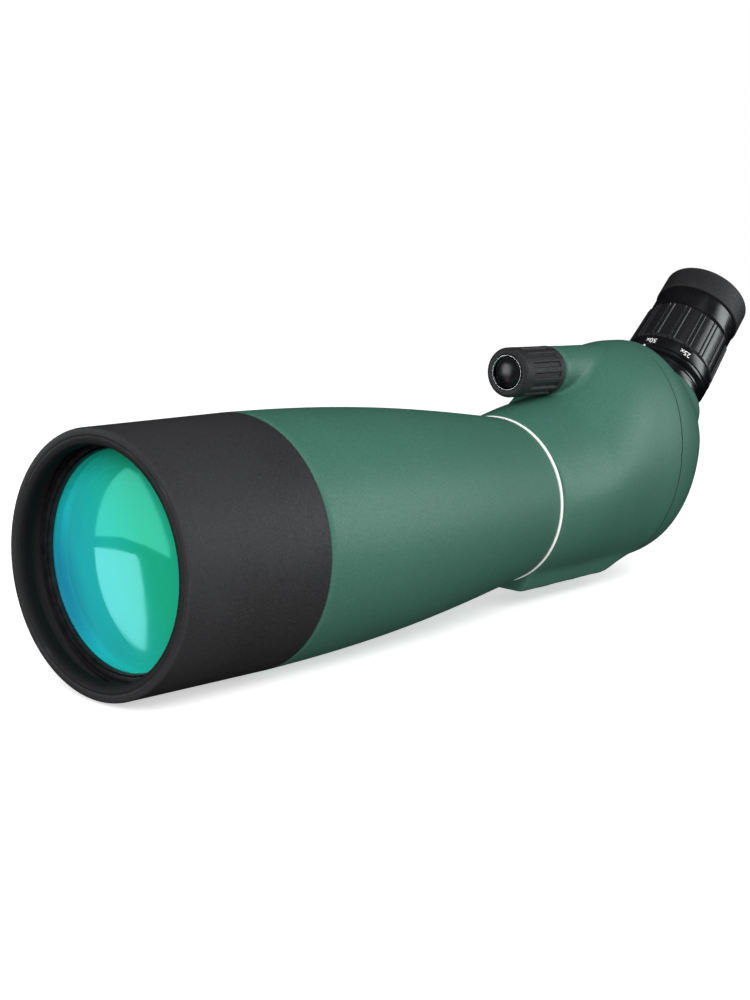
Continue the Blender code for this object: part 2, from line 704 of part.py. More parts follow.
def build_focus(looks):
    knob_rear = 0.2283
    shaft = (
        (0, 0.2063),
        (0.0020, 0.2063),
        (0.0020, 0.2433),
        (0.0014, 0.2433),
        (0.0014, 0.2445),
        (0.0020, 0.2445),
        (0.0020, 0.2780),
        (0, 0.2780),
    )
    shaft_obj = turned("focus_lead_screw", shaft, "focus", looks["steel"], SMALL)
    cut(shaft_obj, disc("shaft_tap", 0.0011, 0.2000, 0.2115, "focus", segments=12))
    ring("focus_shaft_clip", 0.0017, 0.0036, 0.2436, 0.2442, "focus", looks["steel"], SMALL)
    ring("focus_bush", 0.0023, 0.0050, 0.2325, 0.2430, "focus", looks["brass"], SMALL)
    ring("focus_shaft_seal", 0.0023, 0.0050, 0.2299, 0.2322, "focus", looks["black_rubber"], SMALL)

    core = (
        (0.0011, 0.2047),
        (0.0084, 0.2047),
        (0.0084, knob_rear),
        (0.0023, knob_rear),
        (0.0023, 0.2060),
        (0.0011, 0.2060),
    )
    turned("focus_knob_core", core, "focus", looks["black_plastic"], MEDIUM)
    build_knob_grip(looks, knob_rear)
    ring("knob_trim_ring", 0.0063, 0.0068, 0.2014, 0.2043, "focus", looks["chrome"], MEDIUM)
    cap = ((0, 0.2010), (0.0030, 0.2011), (0.0052, 0.2014), (0.0060, 0.2018), (0.0060, 0.2029), (0, 0.2029))
    turned("knob_cap", cap, "focus", looks["gloss_black"], MEDIUM)
    head = ((0, 0.2032), (0.0024, 0.2032), (0.0024, 0.2044), (0.0008, 0.2044), (0.0008, 0.2100), (0, 0.2100))
    turned("knob_screw", head, "focus", looks["steel"], 16)

    carriage = ring("focus_carriage", 0.0176, 0.0200, 0.2380, 0.2490, "tube", looks["black_metal"], MEDIUM)
    parts = (
        block("carriage_web", (-0.0050, 0.2460, 0.0188), (0.0050, 0.2490, 0.0452)),
        block("carriage_crossbar", (-0.0168, 0.2460, 0.0272), (0.0168, 0.2490, 0.0348)),
        block("carriage_arm", (-0.0040, 0.2462, 0.0418), (0.0040, 0.2638, 0.0453)),
        block("carriage_nut", (-0.0045, 0.2560, 0.0430), (0.0045, 0.2640, 0.0522)),
    )
    join(carriage, *parts)
    cut(carriage, disc("nut_bore", 0.0023, 0.2500, 0.2700, "focus", segments=SMALL))
    for side, x in GUIDE_RODS:
        cut(carriage, rod("slider_hole_" + side, 0.0017, 0.2400, 0.2550, x, GUIDE_ROD_Z))
    lens("focusing_lens", 0.0173, 0.2415, 0.2465, -0.0012, -0.0008, "tube", looks["coated_glass"])
    ring("focusing_lens_ring", 0.0155, 0.0173, 0.2388, 0.2411, "tube", looks["black_metal"])


def build_knob_grip(looks, rear):
    """Rubber sleeve with shallow flutes between a smooth front band and a smooth rear band."""
    outer = 0.00975
    flutes = 14
    flute_depth = 0.0007
    rings_at = (
        (0.0071, 0.2018, 0),
        (0.0092, 0.2018, 0),
        (outer, 0.2026, 0),
        (outer, 0.2075, 0),
        (outer, 0.2081, 1),
        (outer, 0.2254, 1),
        (outer, 0.2260, 0),
        (outer, rear - 0.0004, 0),
        (outer - 0.0004, rear, 0),
        (0.0087, rear, 0),
        (0.0087, 0.2044, 0),
        (0.0071, 0.2044, 0),
    )
    bm = bmesh.new()
    rings = []
    for radius, along, fluted in rings_at:
        made = []
        for i in range(flutes):
            for offset, low in ((0.00, 0), (0.42, 0), (0.50, 1), (0.92, 1)):
                angle = 2 * math.pi * (i + offset) / flutes
                r = radius - flute_depth * low * fluted
                made.append(bm.verts.new((r * math.cos(angle), r * math.sin(angle), along)))
        rings.append(made)
    bridge(bm, rings, closed=True)
    place(link_mesh("focus_knob_grip", bm, looks["black_rubber"]), "focus")


# ---- eyepiece -----------------------------------------------------------------------------
BARREL_IN = 0.0139
BARREL_OUT = 0.0153


def build_eyepiece(looks):
    collar = (
        (BARREL_OUT + GAP, 0.0380),
        (0.0174, 0.0380),
        (0.0174, SOCKET_FACE + GAP),
        (0.0186, SOCKET_FACE + GAP),
        (0.0190, SOCKET_FACE + 0.0008),
        (0.0190, 0.0558),
        (0.0181, 0.0566),
        (0.0181, 0.0600),
        (BARREL_OUT + GAP, 0.0600),
    )
    turned("eyepiece_collar", collar, "eyepiece", looks["black_plastic"])
    metal = looks["black_metal"]
    barrel = ring("eyepiece_barrel", BARREL_IN, BARREL_OUT, 0.0340, 0.1010, "eyepiece", metal)
    carriers = (("front", 0.0540, 0.0514), ("rear", 0.0720, 0.0694))
    for place_name, start, slot_start in carriers:
        for side, sign in SIDES:
            bm = bmesh.new()
            bmesh.ops.create_cube(bm, size=1.0)
            bmesh.ops.scale(bm, vec=(0.0060, 0.0026, 0.0112), verts=bm.verts)
            bmesh.ops.translate(bm, vec=(sign * 0.0146, 0, slot_start + 0.0056), verts=bm.verts)
            slot = link_mesh(place_name + "_slot_" + side, bm, smooth=False)
            place(slot, "eyepiece")
            cut(barrel, slot)
        name = "zoom_carrier_" + place_name
        carrier = ring(name, 0.0108, BARREL_IN - GAP, start, start + 0.0060, "eyepiece", metal)
        for side, sign in SIDES:
            follower = disc(name + "_pin_" + side, 0.0010, 0.0125, BARREL_OUT, "none", segments=12)
            tilt = EYEPIECE_TILT
            centre = start + 0.0030
            follower.location = (
                0,
                RIM_Y + EYEPIECE_STATION + centre * math.sin(tilt),
                AXIS_HEIGHT + centre * math.cos(tilt),
            )
            follower.rotation_euler = (0, sign * math.pi / 2, 0)
            join(carrier, follower)
    glass = looks["coated_glass"]
    lens("zoom_lens_front", 0.0105, 0.0552, 0.0588, -0.0006, -0.0004, "eyepiece", glass, SMALL)
    lens("zoom_lens_rear", 0.0105, 0.0735, 0.0765, 0.0010, 0.0010, "eyepiece", glass, SMALL)
    lens("field_lens", 0.0136, 0.0370, 0.0405, 0.0008, 0.0004, "eyepiece", glass, SMALL)
    ring("field_stop", 0.0095, 0.0136, 0.0440, 0.0452, "eyepiece", looks["black_metal"], SMALL)
    lens("eye_lens", 0.0136, 0.0925, 0.0968, 0.0014, 0.0012, "eyepiece", glass, SMALL)
    retainer = ((0.0118, 0.0998), (0.0121, 0.0984), (0.0136, 0.0984), (0.0136, 0.0998))
    turned("eye_lens_retainer", retainer, "eyepiece", looks["black_metal"], SMALL)

    ring("zoom_cam_sleeve", 0.0156, 0.0170, 0.0613, 0.0875, "eyepiece", looks["black_metal"])
    zoom_ring = (
        (0.0173, 0.0604),
        (ZOOM_RADIUS - 0.0004, 0.0604),
        (ZOOM_RADIUS, 0.0608),
        (ZOOM_RADIUS, 0.0668),
        (0.0191, 0.0670),
        (0.0191, 0.0878),
        (0.0173, 0.0878),
    )
    turned("zoom_ring", zoom_ring, "eyepiece", looks["black_plastic"], LARGE)
    build_zoom_grip(looks)
    top_collar = (
        (BARREL_OUT + GAP, 0.0883),
        (0.0203, 0.0883),
        (0.0204, 0.0890),
        (0.0203, 0.0980),
        (0.0170, 0.0980),
        (0.0170, 0.1030),
        (BARREL_OUT + GAP, 0.1030),
    )
    turned("eyepiece_top_collar", top_collar, "eyepiece", looks["gloss_black"], LARGE)
    ring("eyecup_twist_ring", 0.0173, 0.0184, 0.0984, 0.1050, "eyepiece", looks["black_plastic"])
    ring("eyecup_sleeve", 0.0187, 0.0193, 0.0984, 0.1066, "eyepiece", looks["black_plastic"])
    cup = (
        (0.0196, 0.0984),
        (EYECUP_RADIUS, 0.0984),
        (EYECUP_RADIUS, 0.1080),
        (EYECUP_RADIUS - 0.0005, 0.1098),
        (EYECUP_RADIUS - 0.0020, EYECUP_TOP),
        (0.0150, EYECUP_TOP),
        (0.0142, 0.1098),
        (0.0142, 0.1069),
        (0.0196, 0.1069),
    )
    turned("eyecup", cup, "eyepiece", looks["black_rubber"], LARGE)


def build_zoom_grip(looks):
    """Rubber zoom grip with pairs of narrow raised ribs between wide flats."""
    pairs = 16
    start = 0.0673
    end = 0.0878
    base = 0.0203
    rib = 0.0007
    outline = (
        (0.00, 0),
        (0.56, 0),
        (0.58, 1),
        (0.68, 1),
        (0.70, 0),
        (0.84, 0),
        (0.86, 1),
        (0.96, 1),
        (0.98, 0),
    )
    bm = bmesh.new()
    rings = []
    for radius, along, raised in ((0.0194, start, 0), (base, start, 1), (base, end, 1), (0.0194, end, 0)):
        made = []
        for i in range(pairs):
            for offset, high in outline:
                angle = 2 * math.pi * (i + offset) / pairs
                r = radius + rib * high * raised
                made.append(bm.verts.new((r * math.cos(angle), r * math.sin(angle), along)))
        rings.append(made)
    bridge(bm, rings, closed=True)
    place(link_mesh("zoom_grip", bm, looks["black_rubber"]), "eyepiece")


def build_cover_screws(looks):
    for side, x, z in COVER_SCREWS:
        screw("cover_screw_" + side, 0.0026, 0.0018, 0.0012, 0.0170, x, z, SCREW_SEAT, looks["steel"])


def main():
    clear_scene()
    looks = make_materials()
    build_hood(looks)
    build_tube(looks)
    build_objective(looks)
    build_housing(looks)
    build_gasket(looks)
    build_rear_cover(looks)
    build_cover_screws(looks)
    build_prism(looks)
    build_focus(looks)
    build_eyepiece(looks)


main()
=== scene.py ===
"""Looks for the angled zoom spotting scope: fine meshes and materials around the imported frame.

Turned pieces are drawn as outlines of (radius, distance along the axis, corner radius), in metres.
Distances along the tube and focus axes are stations behind the hood's front rim. Along the
eyepiece axis they run from where it crosses the tube axis.
"""

import json
import math

import bmesh
import bpy
import numpy as np
from mathutils import Matrix, Vector


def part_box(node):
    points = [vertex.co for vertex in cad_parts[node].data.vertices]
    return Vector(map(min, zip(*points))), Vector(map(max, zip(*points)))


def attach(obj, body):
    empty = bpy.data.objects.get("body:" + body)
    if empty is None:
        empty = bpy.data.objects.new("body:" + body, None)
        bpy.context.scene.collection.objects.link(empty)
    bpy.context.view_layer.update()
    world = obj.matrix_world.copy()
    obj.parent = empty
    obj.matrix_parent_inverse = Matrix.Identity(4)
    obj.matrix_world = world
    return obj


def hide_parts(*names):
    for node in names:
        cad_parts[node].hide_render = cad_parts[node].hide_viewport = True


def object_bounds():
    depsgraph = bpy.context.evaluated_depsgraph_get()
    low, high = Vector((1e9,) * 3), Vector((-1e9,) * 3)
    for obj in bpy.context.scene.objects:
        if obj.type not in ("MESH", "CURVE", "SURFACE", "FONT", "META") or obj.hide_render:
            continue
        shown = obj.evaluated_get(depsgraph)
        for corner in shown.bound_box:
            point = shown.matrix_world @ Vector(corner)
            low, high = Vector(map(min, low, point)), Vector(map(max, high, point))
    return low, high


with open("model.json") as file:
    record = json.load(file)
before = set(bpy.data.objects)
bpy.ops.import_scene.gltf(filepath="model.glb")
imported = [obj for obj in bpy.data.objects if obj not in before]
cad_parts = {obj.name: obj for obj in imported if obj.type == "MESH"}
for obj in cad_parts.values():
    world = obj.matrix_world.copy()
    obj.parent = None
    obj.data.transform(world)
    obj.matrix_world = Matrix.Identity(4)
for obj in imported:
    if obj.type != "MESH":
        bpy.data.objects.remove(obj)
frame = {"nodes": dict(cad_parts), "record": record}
CAD_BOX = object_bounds()

RECORD = frame["record"]
MOUNTS = {m["name"]: m for m in RECORD["mounts"]}
JOINTS = {j["name"]: j for j in RECORD["behaviour"]["joints"]}

TUBE_START = Vector(MOUNTS["hood_rim"]["pos_m"])
FOCUS_POINT = Vector(JOINTS["focus_turn"]["pos_m"])
EYE_POINT = Vector(JOINTS["zoom_turn"]["pos_m"])
EYE_AXIS = Vector(JOINTS["zoom_turn"]["axis"]).normalized()
EYE_START = EYE_POINT - EYE_AXIS * ((EYE_POINT.z - TUBE_START.z) / EYE_AXIS.z)
EYE_TILT = math.asin(EYE_AXIS.y)

# ---- sizes, from the rim along the tube axis ----------------------------------------------
HOOD_REAR = 0.0576
HOOD_FRONT_RADIUS = 0.0410
HOOD_REAR_RADIUS = 0.0421
BARREL_RADIUS = 0.0383
TUBE_FRONT = 0.0578
TUBE_REAR = 0.1960
NECK_RADIUS = 0.0322
HOUSING_FRONT = 0.1977
LENS_FACE = 0.0145
LENS_BULGE = 0.0001
SEAM = 0.2800
SEAM_GAP = 0.00040
SHELL_VOXEL = 0.0007
SMOOTH_ROUNDS = 60
AXIS_HEIGHT = TUBE_START.z
FOOT_REAR = 0.2560
FOOT_HALF_WIDTH = 0.0150
FOOT_FLARE = 0.45
BOSS_RADIUS = 0.0096
BOSS_FRONT = 0.2292
SOCKET_RADIUS = 0.0226
SOCKET_BORE = 0.0165
SOCKET_FACE = 0.0530

# The housing's cross-sections: station, half width, top, widest level, bottom, squareness.
HOUSING_ROWS = np.array(
    (
        (0.1977, 0.0323, 0.0324, 0.0000, -0.0324, 2.0),
        (0.2030, 0.0330, 0.0342, 0.0010, -0.0326, 1.90),
        (0.2100, 0.0335, 0.0364, 0.0020, -0.0328, 1.76),
        (0.2220, 0.0342, 0.0385, 0.0035, -0.0330, 1.72),
        (0.2300, 0.0346, 0.0400, 0.0050, -0.0332, 1.75),
        (0.2370, 0.0348, 0.0446, 0.0070, -0.0334, 1.85),
        (0.2460, 0.0350, 0.0510, 0.0090, -0.0336, 1.95),
        (0.2560, 0.0351, 0.0563, 0.0110, -0.0338, 2.05),
        (0.2680, 0.0351, 0.0594, 0.0130, -0.0338, 2.05),
        (0.2800, 0.0350, 0.0602, 0.0140, -0.0336, 2.05),
        (0.2900, 0.0340, 0.0592, 0.0150, -0.0328, 2.05),
        (0.2980, 0.0322, 0.0538, 0.0160, -0.0308, 2.05),
        (0.3040, 0.0298, 0.0479, 0.0170, -0.0272, 2.05),
        (0.3090, 0.0267, 0.0430, 0.0180, -0.0205, 2.05),
        (0.3130, 0.0234, 0.0390, 0.0190, -0.0135, 2.05),
        (0.3165, 0.0194, 0.0355, 0.0203, -0.0060, 2.05),
        (0.3190, 0.0150, 0.0330, 0.0218, 0.0030, 2.05),
        (0.3208, 0.0090, 0.0306, 0.0232, 0.0120, 2.05),
        (0.3218, 0.0040, 0.0280, 0.0245, 0.0205, 2.05),
    )
)


# ---- material nodes -----------------------------------------------------------------------
class Nodes:
    """Short calls for building one material's node tree."""

    def __init__(self, name):
        self.material = bpy.data.materials.new(name)
        self.material.use_nodes = True
        self.tree = self.material.node_tree
        self.shader = self.tree.nodes["Principled BSDF"]
        self.where = self.add("ShaderNodeTexCoord").outputs["Object"]

    def add(self, kind, **values):
        node = self.tree.nodes.new(kind)
        for key, value in values.items():
            setattr(node, key, value)
        return node

    def link(self, output, target):
        self.tree.links.new(output, target)

    def fix(self, **values):
        """Sets the shader's own sockets. Underscores stand for spaces."""
        for key, value in values.items():
            self.shader.inputs[key.replace("_", " ")].default_value = value
        return self

    def noise(self, scale, detail=3.0, rough=0.55, stretch=None):
        node = self.add("ShaderNodeTexNoise")
        node.inputs["Scale"].default_value = scale
        node.inputs["Detail"].default_value = detail
        node.inputs["Roughness"].default_value = rough
        source = self.where
        if stretch is not None:
            mapping = self.add("ShaderNodeMapping")
            mapping.inputs["Scale"].default_value = stretch
            self.link(self.where, mapping.inputs["Vector"])
            source = mapping.outputs["Vector"]
        self.link(source, node.inputs["Vector"])
        return node.outputs["Fac"]

    def cells(self, scale):
        node = self.add("ShaderNodeTexVoronoi")
        node.inputs["Scale"].default_value = scale
        self.link(self.where, node.inputs["Vector"])
        return node.outputs["Distance"]

    def ramp(self, value, *stops):
        """stops are (position, grey or colour)."""
        node = self.add("ShaderNodeValToRGB")
        points = node.color_ramp.elements
        while len(points) < len(stops):
            points.new(0.5)
        for point, (at, shade) in zip(points, stops):
            point.position = at
            point.color = (shade, shade, shade, 1.0) if isinstance(shade, float) else (*shade, 1.0)
        self.link(value, node.inputs["Fac"])
        return node.outputs["Color"]

    def mix(self, factor, a, b, blend="MIX"):
        node = self.add("ShaderNodeMix", data_type="RGBA", blend_type=blend)
        for socket, value in ((node.inputs[0], factor), (node.inputs[6], a), (node.inputs[7], b)):
            if isinstance(value, bpy.types.NodeSocket):
                self.link(value, socket)
            elif isinstance(value, tuple):
                socket.default_value = (*value, 1.0)
            else:
                socket.default_value = value
        return node.outputs[2]

    def maths(self, operation, a, b=0.0):
        node = self.add("ShaderNodeMath", operation=operation)
        for socket, value in zip(node.inputs, (a, b)):
            if isinstance(value, bpy.types.NodeSocket):
                self.link(value, socket)
            else:
                socket.default_value = value
        return node.outputs[0]

    def radius(self):
        """Distance from the piece's own axis."""
        split = self.add("ShaderNodeSeparateXYZ")
        self.link(self.where, split.inputs[0])
        across = self.maths("POWER", split.outputs[0], 2.0)
        upward = self.maths("POWER", split.outputs[1], 2.0)
        return self.maths("SQRT", self.maths("ADD", across, upward))

    def along(self):
        split = self.add("ShaderNodeSeparateXYZ")
        self.link(self.where, split.inputs[0])
        return split.outputs[2]

    def edges(self, spread):
        """Bright where the surface is convex within spread, for worn edges."""
        node = self.add("ShaderNodeNewGeometry")
        return self.ramp(node.outputs["Pointiness"], (0.5 + spread, 0.0), (0.5 + 3 * spread, 1.0))

    def base(self, colour):
        self.link(colour, self.shader.inputs["Base Color"])
        return self

    def rough(self, value):
        self.link(value, self.shader.inputs["Roughness"])
        return self

    def bump(self, height, strength, distance):
        node = self.add("ShaderNodeBump")
        node.inputs["Strength"].default_value = strength
        node.inputs["Distance"].default_value = distance
        self.link(height, node.inputs["Height"])
        self.link(node.outputs["Normal"], self.shader.inputs["Normal"])
        return self


def speckled(name, dark, light, grain, roughness, strength, pale=None, shine=0.35):
    """Moulded or armoured skin: fine grain, a broad drift of tone, and slightly paler edges."""
    n = Nodes(name)
    n.fix(Specular_IOR_Level=shine)
    fine = n.noise(grain, 4.0, 0.7)
    broad = n.noise(28.0, 2.0)
    tone = n.mix(n.ramp(fine, (0.32, 0.0), (0.70, 1.0)), dark, light)
    shade = n.mix(n.ramp(broad, (0.3, 0.0), (0.7, 0.30)), tone, light)
    if pale is not None:
        shade = n.mix(n.maths("MULTIPLY", n.edges(0.012), 0.35), shade, pale)
    low, high = roughness
    n.base(shade)
    n.rough(n.ramp(n.noise(grain * 0.6, 3.0), (0.3, low), (0.7, high)))
    n.bump(n.maths("ADD", fine, n.cells(grain * 0.45)), strength, 0.0001)
    return n.material


def green_armour():
    return speckled(
        "green_armour", (0.030, 0.105, 0.075), (0.052, 0.160, 0.118), 1500.0, (0.40, 0.54), 0.22
    )


def black_armour():
    """Hood skin. Inside the rim lip it turns matte and far darker: the darker colour is painted shade in the
    bore.
    """
    n = Nodes("black_armour")
    n.fix(Specular_IOR_Level=0.22)
    fine = n.noise(1600.0, 4.0, 0.75)
    tone = n.mix(n.ramp(fine, (0.35, 0.0), (0.68, 1.0)), (0.017, 0.017, 0.018), (0.034, 0.034, 0.036))
    drift = n.mix(n.ramp(n.noise(30.0, 2.0), (0.3, 0.0), (0.7, 0.4)), tone, (0.036, 0.037, 0.039))
    worn = n.mix(n.maths("MULTIPLY", n.edges(0.02), 0.3), drift, (0.07, 0.07, 0.072))
    bore_shade_and_matte = n.ramp(n.radius(), (0.0379, 0.0), (0.0384, 1.0))
    # Painted shade: the base colour inside the rim lip goes near black, for the shade in the bore; the
    # roughness there is the matte finish.
    n.base(n.mix(bore_shade_and_matte, (0.0035, 0.0035, 0.0038), worn))
    grip = n.ramp(n.noise(900.0, 3.0), (0.3, 0.46), (0.7, 0.60))
    n.rough(n.mix(bore_shade_and_matte, (0.95, 0.95, 0.95), grip))
    n.bump(n.maths("ADD", fine, n.cells(700.0)), 0.25, 0.0001)
    return n.material


def black_rubber():
    dark, light, pale = (0.012, 0.012, 0.013), (0.026, 0.026, 0.028), (0.06, 0.06, 0.062)
    return speckled("black_rubber", dark, light, 1300.0, (0.50, 0.68), 0.25, pale)


def black_plastic():
    dark, light, pale = (0.008, 0.008, 0.009), (0.016, 0.016, 0.018), (0.04, 0.04, 0.042)
    return speckled("black_plastic", dark, light, 1800.0, (0.18, 0.28), 0.06, pale, 0.5)


def gloss_black():
    n = Nodes("gloss_black")
    smear = n.noise(60.0, 3.0)
    n.base(n.mix(n.ramp(smear, (0.3, 0.0), (0.7, 1.0)), (0.004, 0.004, 0.005), (0.010, 0.010, 0.012)))
    n.rough(n.ramp(n.noise(240.0, 3.0), (0.3, 0.16), (0.7, 0.26)))
    n.bump(n.noise(500.0, 2.0), 0.02, 0.00005)
    return n.material


def white_ring():
    n = Nodes("white_ring")
    n.base(n.mix(n.ramp(n.noise(180.0), (0.3, 0.0), (0.7, 1.0)), (0.80, 0.81, 0.79), (0.92, 0.92, 0.90)))
    n.rough(n.ramp(n.noise(400.0), (0.3, 0.25), (0.7, 0.38)))
    n.bump(n.noise(900.0), 0.04, 0.0001)
    return n.material


def metal(name, dark, light, roughness, turned=260.0):
    """Turned metal: rings of tool marks round the axis and a little staining."""
    n = Nodes(name)
    marks = n.noise(1.0, 2.0, stretch=(12.0, 12.0, turned * 18))
    stain = n.noise(90.0, 3.0)
    low, high = roughness
    n.base(n.mix(n.ramp(stain, (0.3, 0.0), (0.7, 1.0)), dark, light))
    n.rough(n.ramp(marks, (0.3, low), (0.7, high)))
    n.bump(marks, 0.08, 0.00005)
    n.fix(Metallic=1.0)
    return n.material


def black_metal():
    n = Nodes("black_metal")
    marks = n.noise(1.0, 2.0, stretch=(12.0, 12.0, 4200.0))
    tone = n.ramp(n.noise(300.0), (0.3, 0.0), (0.7, 1.0))
    n.base(n.mix(tone, (0.006, 0.006, 0.007), (0.016, 0.016, 0.018)))
    n.rough(n.ramp(marks, (0.3, 0.40), (0.7, 0.55)))
    n.bump(marks, 0.10, 0.00005)
    return n.material


def coated_glass():
    """Coated glass over a dark tube. Its base colour is painted reflection of the coating: blue at one side
    drifting to green at the other, with pale streaky rings near the rim.
    """
    n = Nodes("coated_glass")
    split = n.add("ShaderNodeSeparateXYZ")
    n.link(n.where, split.inputs[0])
    across = n.maths("ADD", split.outputs[0], n.maths("MULTIPLY", split.outputs[1], -0.45))
    drift = n.maths("ADD", n.maths("MULTIPLY", across, 13.0), 0.5)
    # Painted reflection: the coating's reflected colour, blue at one side to green at the other, set by
    # position across the face.
    painted_reflection_tint = n.ramp(
        drift,
        (0.00, (0.018, 0.230, 0.400)),
        (0.14, (0.020, 0.500, 0.560)),
        (0.38, (0.017, 0.540, 0.450)),
        (0.62, (0.014, 0.470, 0.260)),
    )
    around = n.add("ShaderNodeCombineXYZ")
    n.link(n.radius(), around.inputs[0])
    streaks = n.add("ShaderNodeTexNoise")
    streaks.inputs["Scale"].default_value = 1500.0
    streaks.inputs["Detail"].default_value = 3.0
    n.link(around.outputs[0], streaks.inputs["Vector"])
    outer = n.ramp(n.radius(), (0.0180, 0.15), (0.0270, 1.0))
    # Painted reflection: pale streaks in rings near the rim, mixed into the lens colour.
    painted_streak_reflection = n.maths("MULTIPLY", n.ramp(streaks.outputs["Fac"], (0.50, 0.0), (0.75, 0.35)), outer)
    shade = n.mix(painted_streak_reflection, painted_reflection_tint, (0.10, 0.62, 0.66))
    n.base(n.mix(n.ramp(n.noise(60.0, 3.0), (0.3, 0.0), (0.7, 0.15)), shade, (0.02, 0.40, 0.36)))
    n.rough(n.ramp(n.noise(45.0, 2.0), (0.3, 0.015), (0.7, 0.05)))
    n.bump(n.noise(20.0, 1.0), 0.004, 0.0005)
    n.fix(IOR=2.6, Specular_Tint=(0.12, 1.0, 0.76, 1.0))
    return n.material


def white_paint():
    n = Nodes("white_paint")
    n.base(n.mix(n.ramp(n.noise(2600.0), (0.35, 0.0), (0.6, 1.0)), (0.70, 0.70, 0.68), (0.92, 0.92, 0.90)))
    n.rough(n.ramp(n.noise(900.0), (0.3, 0.4), (0.7, 0.6)))
    return n.material


MATERIALS = {
    "green_armour": green_armour(),
    "black_armour": black_armour(),
    "black_rubber": black_rubber(),
    "black_plastic": black_plastic(),
    "gloss_black": gloss_black(),
    "white_ring": white_ring(),
    "black_metal": black_metal(),
    "coated_glass": coated_glass(),
    "steel": metal("steel", (0.42, 0.42, 0.44), (0.62, 0.62, 0.64), (0.24, 0.40)),
    "brass": metal("brass", (0.52, 0.38, 0.17), (0.72, 0.55, 0.27), (0.22, 0.38)),
    "chrome": metal("chrome", (0.70, 0.70, 0.72), (0.84, 0.84, 0.86), (0.05, 0.12)),
    "white_paint": white_paint(),
}


# ---- placing and finishing ----------------------------------------------------------------
def axis_frame(axis):
    """Local Z along the axis, local -Y on its upper side."""
    if axis == "tube":
        return Matrix.Translation(TUBE_START) @ Matrix.Rotation(-math.pi / 2, 4, "X")
    if axis == "focus":
        start = Vector((0, TUBE_START.y, FOCUS_POINT.z))
        return Matrix.Translation(start) @ Matrix.Rotation(-math.pi / 2, 4, "X")
    return Matrix.Translation(EYE_START) @ Matrix.Rotation(-EYE_TILT, 4, "X")


def finish(obj, look, body, nodes=(), sharp=40):
    """Material, shading, body, slot and the CAD nodes that the piece stands for."""
    obj.data.materials.clear()
    obj.data.materials.append(MATERIALS[look])
    obj.data.shade_smooth()
    obj.data.set_sharp_from_angle(angle=math.radians(sharp))
    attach(obj, body)
    if nodes:
        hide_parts(*nodes)
    return obj


def new_object(name, vertices, faces):
    mesh = bpy.data.meshes.new(name)
    mesh.from_pydata([tuple(v) for v in vertices], [], faces)
    mesh.validate()
    obj = bpy.data.objects.new(name, mesh)
    bpy.context.scene.collection.objects.link(obj)
    return obj


def recalculate(obj):
    bm = bmesh.new()
    bm.from_mesh(obj.data)
    bmesh.ops.recalc_face_normals(bm, faces=bm.faces)
    bm.to_mesh(obj.data)
    bm.free()
    return obj


def softened(outline, closed, steps=5):
    """Rounds each corner of an outline by its own radius. Points come out as (radius, along)."""
    points = [(Vector((p[0], p[1])), p[2] if len(p) > 2 else 0.0) for p in outline]
    out = []
    for i, (corner, size) in enumerate(points):
        ends = not closed and i in (0, len(points) - 1)
        if size <= 0 or ends:
            out.append(tuple(corner))
            continue
        before = points[i - 1][0] - corner
        after = points[(i + 1) % len(points)][0] - corner
        angle = before.angle(after)
        reach = min(size / math.tan(angle / 2), 0.48 * before.length, 0.48 * after.length)
        radius = reach * math.tan(angle / 2)
        start = corner + before.normalized() * reach
        middle_way = (before.normalized() + after.normalized()).normalized()
        centre = corner + middle_way * (radius / math.sin(angle / 2))
        first = start - centre
        turn = math.pi - angle
        cross = before.x * after.y - before.y * after.x
        sign = 1 if cross < 0 else -1
        for k in range(steps + 1):
            out.append(tuple(centre + Matrix.Rotation(sign * turn * k / steps, 2) @ first))
    return out


def turned(name, outline, axis, look, body, nodes=(), segments=128, closed=True, pattern=None, sharp=40):
    """A solid of revolution. pattern(angle array) adds to the radius where a point's fourth value says."""
    weights = None
    if pattern is not None:
        weights = [p[3] if len(p) > 3 else 0.0 for p in outline]
        points = [(p[0], p[1]) for p in outline]
    else:
        points = softened(outline, closed)
    angles = np.linspace(0, 2 * np.pi, segments, endpoint=False)
    vertices = []
    starts = []
    for i, (radius, along) in enumerate(points):
        starts.append(len(vertices))
        if radius < 1e-7:
            vertices.append((0.0, 0.0, along))
            continue
        radii = np.full(segments, radius)
        if weights is not None:
            radii = radii + weights[i] * pattern(angles)
        vertices += list(zip(radii * np.cos(angles), radii * np.sin(angles), np.full(segments, along)))
    faces = []
    spans = list(zip(range(len(points)), range(1, len(points))))
    if closed:
        spans.append((len(points) - 1, 0))
    for a, b in spans:
        single_a = points[a][0] < 1e-7
        single_b = points[b][0] < 1e-7
        if single_a and single_b:
            continue
        for i in range(segments):
            j = (i + 1) % segments
            if single_a:
                faces.append((starts[a], starts[b] + j, starts[b] + i))
            elif single_b:
                faces.append((starts[a] + i, starts[a] + j, starts[b]))
            else:
                faces.append((starts[a] + i, starts[a] + j, starts[b] + j, starts[b] + i))
    obj = recalculate(new_object(name, vertices, faces))
    obj.matrix_world = axis_frame(axis)
    return finish(obj, look, body, nodes, sharp)


# ---- objective end ------------------------------------------------------------------------
def build_hood():
    outline = (
        (0.0357, 0.0016, 0.0003),
        (0.0362, 0.0005, 0.0004),
        (0.0378, 0.0000, 0.0003),
        (0.0384, 0.0004, 0.0002),
        (0.0390, 0.0001, 0.0004),
        (HOOD_FRONT_RADIUS, 0.0000, 0.0014),
        (HOOD_REAR_RADIUS, HOOD_REAR, 0.0003),
        (BARREL_RADIUS + 0.0003, HOOD_REAR, 0.0002),
        (BARREL_RADIUS + 0.0003, HOOD_REAR - 0.0030),
        (0.0394, HOOD_REAR - 0.0030),
        (0.0394, 0.0045),
        (0.0357, 0.0045, 0.0003),
    )
    turned("hood_shell", outline, "tube", "black_armour", "hood", ["sun_hood"], 200)


